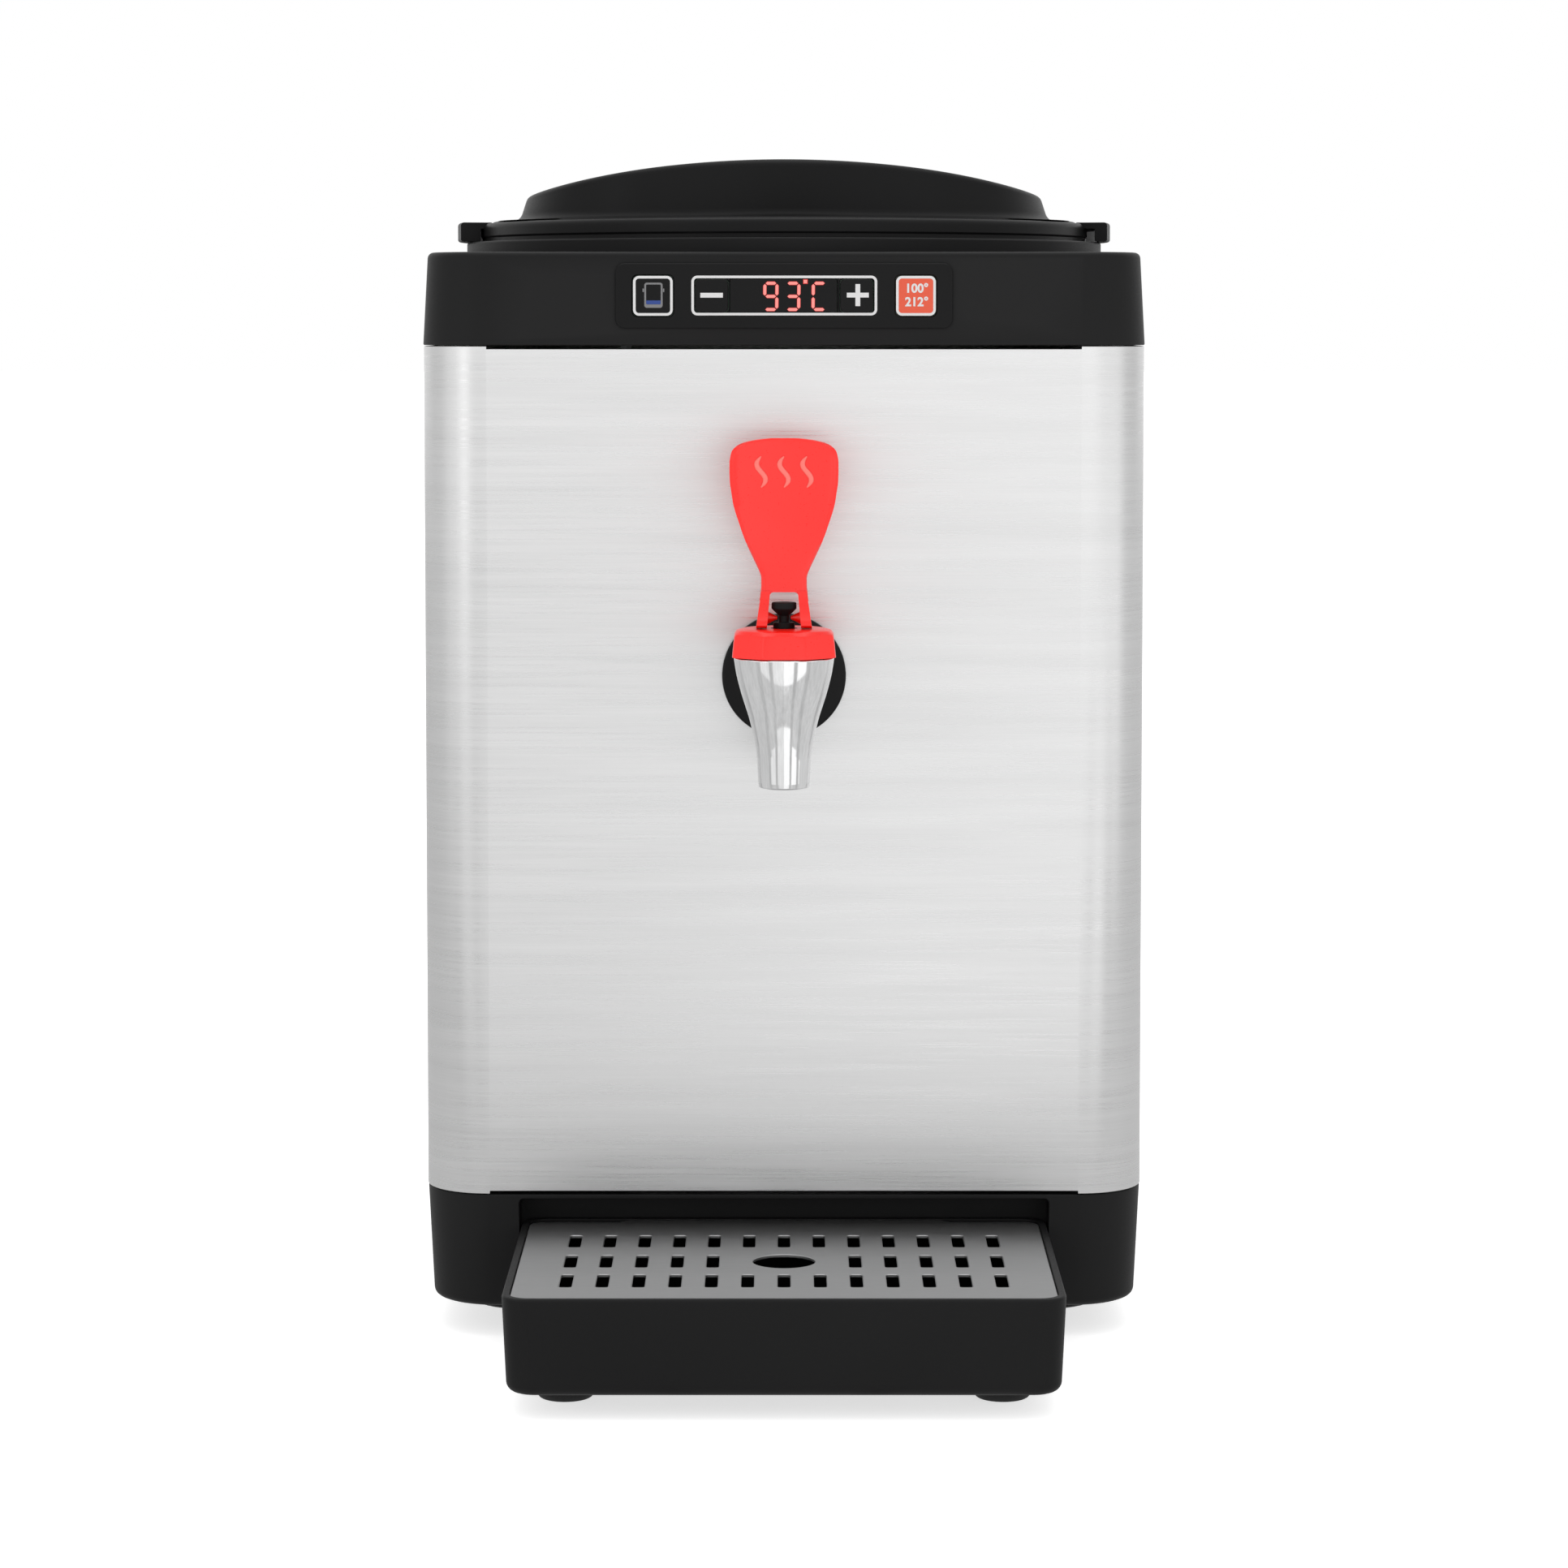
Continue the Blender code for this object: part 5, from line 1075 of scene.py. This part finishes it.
def build_bonnet():
    """Moulded bonnet: a skirt of eight soft facets under a round, domed top."""
    steps, low, high = 192, BONNET_LOW.z, BONNET_HIGH.z
    turned_profile = soften([(BONNET_HIGH.x, low, 0), (0.0176, 0.2565, 0.004), (0.0170, 0.2590, 0.0022),
        (0.0150, 0.2607, 0.002), (0.0130, high, 0.001), (0.0046, high, 0.0003)], 6, closed=False)
    facet = 0.01655
    rings = []

    def skirt(radius, z, blend):
        ring = []
        for k in range(steps):
            angle = 2 * pi * k / steps
            from_flat = (angle + pi / 8) % (pi / 4) - pi / 8
            flat = (facet - 0.0009 * (z - low) / (high - low)) / cos(from_flat)
            soft = 0.0005
            lower = min(radius, flat) - soft * exp(-abs(radius - flat) / soft) * 0.5
            r = radius + (lower - radius) * blend
            wide = 1 + 0.078 * blend
            ring.append((wide * r * cos(angle), TAP_Y + r * sin(angle), z))
        return ring

    side_top, side_z = turned_profile[1]
    levels = [(BONNET_HIGH.x - 0.0003, low), (BONNET_HIGH.x, low + 0.0003)]
    levels += [(BONNET_HIGH.x + (side_top - BONNET_HIGH.x) * k / 6,
        low + 0.0003 + (side_z - low - 0.0003) * k / 6) for k in range(1, 6)]
    levels += turned_profile[1:]
    for radius, z in levels:
        blend = 1.0 if radius > 0.0125 else max(0.0, (radius - 0.010) / 0.0025)
        rings.append(skirt(radius, z, blend))
    for r, z in ((0.0046, BONNET_CEILING), (0.0138, BONNET_CEILING), (0.0140, BONNET_CEILING - 0.0002),
            (0.0140, low)):
        rings.append([(r * cos(2 * pi * k / steps), TAP_Y + r * sin(2 * pi * k / steps), z)
            for k in range(steps)])
    bonnet = ring_solid("tap_cap", rings, wrap=True, smooth=50)
    piece(bonnet, "red_plastic", "root", "red_plastic", "tap_bonnet")


BLADE = [(0.2705, 0.0084), (0.2755, 0.00785), (0.2790, 0.00785), (0.2806, 0.0084), (0.2839, 0.0099),
    (0.2873, 0.0115), (0.2906, 0.0130), (0.2940, 0.0143), (0.2974, 0.0154), (0.3007, 0.0165),
    (0.3040, 0.0174), (0.3074, 0.0179), (0.3110, 0.01845), (0.3150, 0.0186), (0.3190, 0.01855),
    (0.3209, 0.0182), (0.3226, 0.01765), (0.3243, 0.0157), (0.3254, 0.0130), (0.3262, 0.0090),
    (0.3268, 0.0030)]


def blade_half(z):
    for (z0, w0), (z1, w1) in zip(BLADE, BLADE[1:]):
        if z <= z1:
            return w0 + (w1 - w0) * max(0.0, z - z0) / (z1 - z0)
    return BLADE[-1][1]


def blade_middle(z):
    """How far the middle of the blade is from the tap's axis: back at the neck, then forward."""
    t = min(1.0, max(0.0, (z - 0.279) / 0.0478))
    return 0.0006 - 0.0082 * t * t * (3 - 2 * t)


def blade_front(x, z):
    """Front face of the blade, slightly hollow across."""
    w = max(blade_half(z), 0.002)
    hollow = 0.0007 * max(0.0, 1 - (x / w) ** 2) * min(1.0, max(0.0, (z - 0.282) / 0.015))
    return TAP_Y + blade_middle(z) - 0.0021 + hollow


def build_lever():
    """Red lever: a blade on two legs with cam feet and pins, moulded in one."""
    rings = []
    heights = [0.2705 + (0.3240 - 0.2705) * k / 60 for k in range(61)] + [0.3246, 0.3252, 0.3257, 0.3261,
        0.3264, 0.3266]
    for z in heights:
        half = blade_half(z)
        closing = max(0.0, (z - 0.3243) / 0.0024)
        thick = 0.0021 - 0.0009 * closing
        ring = []
        for k in range(25):
            x = half * (k / 12 - 1)
            edge = 0.0012 * max(0.0, (abs(x) - half + 0.0012) / 0.0012) ** 2 if half > 0.002 else 0.0
            ring.append((x, max(blade_front(x, z), TAP_Y + blade_middle(z) - thick) + edge, z))
        for k in range(25):
            x = half * (1 - k / 12)
            edge = 0.0012 * max(0.0, (abs(x) - half + 0.0012) / 0.0012) ** 2 if half > 0.002 else 0.0
            ring.append((x, TAP_Y + blade_middle(z) + thick - edge + 0.0001, z))
        rings.append(ring)
    lever = ring_solid("lever", rings, smooth=40)
    turn_limit = radians(JOINTS["lever_tilt"]["range_deg"][1])
    rest, rate = PIVOT_Z - BONNET_HIGH.z - GAP, STEM_LIFT / turn_limit
    cam = []
    for k in range(12, -1, -1):
        turn = turn_limit * k / 12
        reach = rest + rate * turn
        cam.append((-reach * sin(turn) - rate * cos(turn), -reach * cos(turn) + rate * sin(turn)))
    side_view = [(-0.0020, 0.0092), (-0.0028, 0.0040), (-0.0072, -0.0004)] + cam
    side_view += [(0.0026, -rest), (0.0034, -0.0022), (0.0027, 0.0040), (0.0025, 0.0092)]
    joins = []
    for side in (-1, 1):
        leg = []
        for x_top, x_foot in ((0.00480, 0.00585), (0.00785, 0.0096)):
            leg.append([(side * (x_top + (x_foot - x_top) * (0.0085 - dz) / 0.0118), TAP_Y + dy,
                PIVOT_Z + dz) for dy, dz in side_view])
        joins.append(ring_solid("leg", leg))
        pin = [(0, side * 0.0023), (0.0006, side * 0.0023), (0.0014, side * 0.0040),
            (0.0022, side * 0.0056), (0.0022, side * 0.0068), (0, side * 0.0068)]
        joins.append(turned_solid("pin", pin, (TAP_Y, PIVOT_Z), "X", 32))
    window = soften([(0.0059, 0.2600, 0), (0.0049, 0.2736, 0.0016), (-0.0049, 0.2736, 0.0016),
        (-0.0059, 0.2600, 0)], 6)
    opening = ring_solid("opening", [upright(window, TAP_Y - 0.006), upright(window, TAP_Y + 0.006)])
    combine(lever, [opening], smooth=40)
    combine(lever, joins, "UNION", 40)
    piece(lever, "red_plastic", "lever", "red_plastic", "tap_lever")
    build_lever_symbol()


def build_lever_symbol():
    """Three rising waves, a plain sign for hot water, raised on the blade."""
    bm = bmesh.new()
    for x0 in (-0.0078, 0.0, 0.0078):
        half, rise, steps = 0.00090, 0.00050, 26
        rings = []
        for k in range(steps + 1):
            t = k / steps
            z = 0.3098 + 0.0106 * t
            x = x0 + 0.0015 * sin(2 * pi * t)
            slope = 0.0015 * 2 * pi * cos(2 * pi * t) / 0.0106
            nx, nz = 1 / sqrt(1 + slope ** 2), -slope / sqrt(1 + slope ** 2)
            ends = min(1.0, 4.5 * t, 4.5 * (1 - t)) ** 0.5 if 0 < t < 1 else 0.25
            ring = []
            for a, b in ((-1.0, -0.6), (-0.92, 0.55), (-0.6, 1.0), (0.6, 1.0), (0.92, 0.55), (1.0, -0.6)):
                px, pz = x + nx * a * half * ends, z + nz * a * half * ends
                ring.append((px, blade_front(px, pz) - rise * b, pz))
            rings.append(ring)
        add_rings(bm, rings)
    piece(add_object("lever_symbol", bm, 50), "red_sign", "lever", "red_plastic")


# ---- Drip tray ------------------------------------------------------------
def build_tray():
    half, front, back = TRAY_HIGH.x, TRAY_LOW.y, TRAY_HIGH.y
    low, high, draft, rim = TRAY_LOW.z, TRAY_HIGH.z, 0.0015, 0.0026
    grid_rest = GRID_LOW.z - GAP
    ledge = rim + 0.0025
    foot = [(0.012, low + WALL, 0), (ledge, low + WALL, 0.0015), (ledge, grid_rest, 0.0003),
        (rim, grid_rest, 0.0003)]
    profile = soften(foot + [(rim, high, 0.0004), (0.0, high, 0.0009), (0.0, low, 0.0038), (0.012, low, 0)],
        6, closed=False)

    def plan(inset, z):
        lean = draft * (high - z) / (high - low)
        return rounded(half - inset - lean, front + inset + lean, back - inset,
            max(0.0085 - inset * 0.6, 0.0035), 10)

    tray = ring_solid("tray", [level(plan(inset, z), z) for inset, z in profile], smooth=35)
    piece(tray, "black_plastic", "tray", "black_plastic", "drip_tray")


def build_grid():
    half, front, top, low = GRID_HIGH.x, GRID_LOW.y, GRID_HIGH.z, GRID_LOW.z
    back, tongue_y, tongue = -0.065, GRID_HIGH.y, 0.060
    slope = tongue - (tongue_y - back)

    def outside(inset):
        return soften([(half - inset, front + inset, 0.005 - inset),
            (half - inset, back - inset, 0.005 - inset), (tongue - inset * 0.4, back - inset, 0.0012),
            (slope - inset * 0.4, tongue_y - inset, 0.0012),
            (-slope + inset * 0.4, tongue_y - inset, 0.0012),
            (-tongue + inset * 0.4, back - inset, 0.0012), (-half + inset, back - inset, 0.005 - inset),
            (-half + inset, front + inset, 0.005 - inset)], 8)

    def slot_loop(x, y):
        return lambda inset: rounded(0.00215 + inset, y - 0.0097 - inset, y + 0.0097 + inset,
            0.0011 + inset, 5, x)

    loops = [outside]
    for row, y in enumerate((-0.1594, -0.1293, -0.0972)):
        loops += [slot_loop(0.01232 * k, y) for k in range(-6, 7) if row != 1 or abs(k) > 1]
    loops.append(lambda inset: [((FINGER_HOLE + inset) * cos(2 * pi * k / 72),
        TAP_Y + (FINGER_HOLE + inset) * sin(2 * pi * k / 72)) for k in range(72)])
    grid = plate_solid("grid", loops, low, top, 0.00025, lambda u, v, w: (u, v, w), smooth=30)
    piece(grid, "satin_steel", "grid", "brushed_steel", "drip_grid")


# ---- Inner pieces, which keep their shape ---------------------------------
def dress_frame():
    """Give every carried-over solid the finish that the record names for it."""
    slots = {row["node"]: row["material_slot"] for row in frame["record"]["subparts"]}
    for node, obj in frame["nodes"].items():
        obj.data.materials.clear()
        obj.data.materials.append(MATERIALS[slots[node]])


dress_frame()
build_jacket()
build_cap()
build_base()
build_plinth_and_feet()
build_rear()
build_lid()
build_panel()
build_tap()
build_lever()
build_tray()
build_grid()
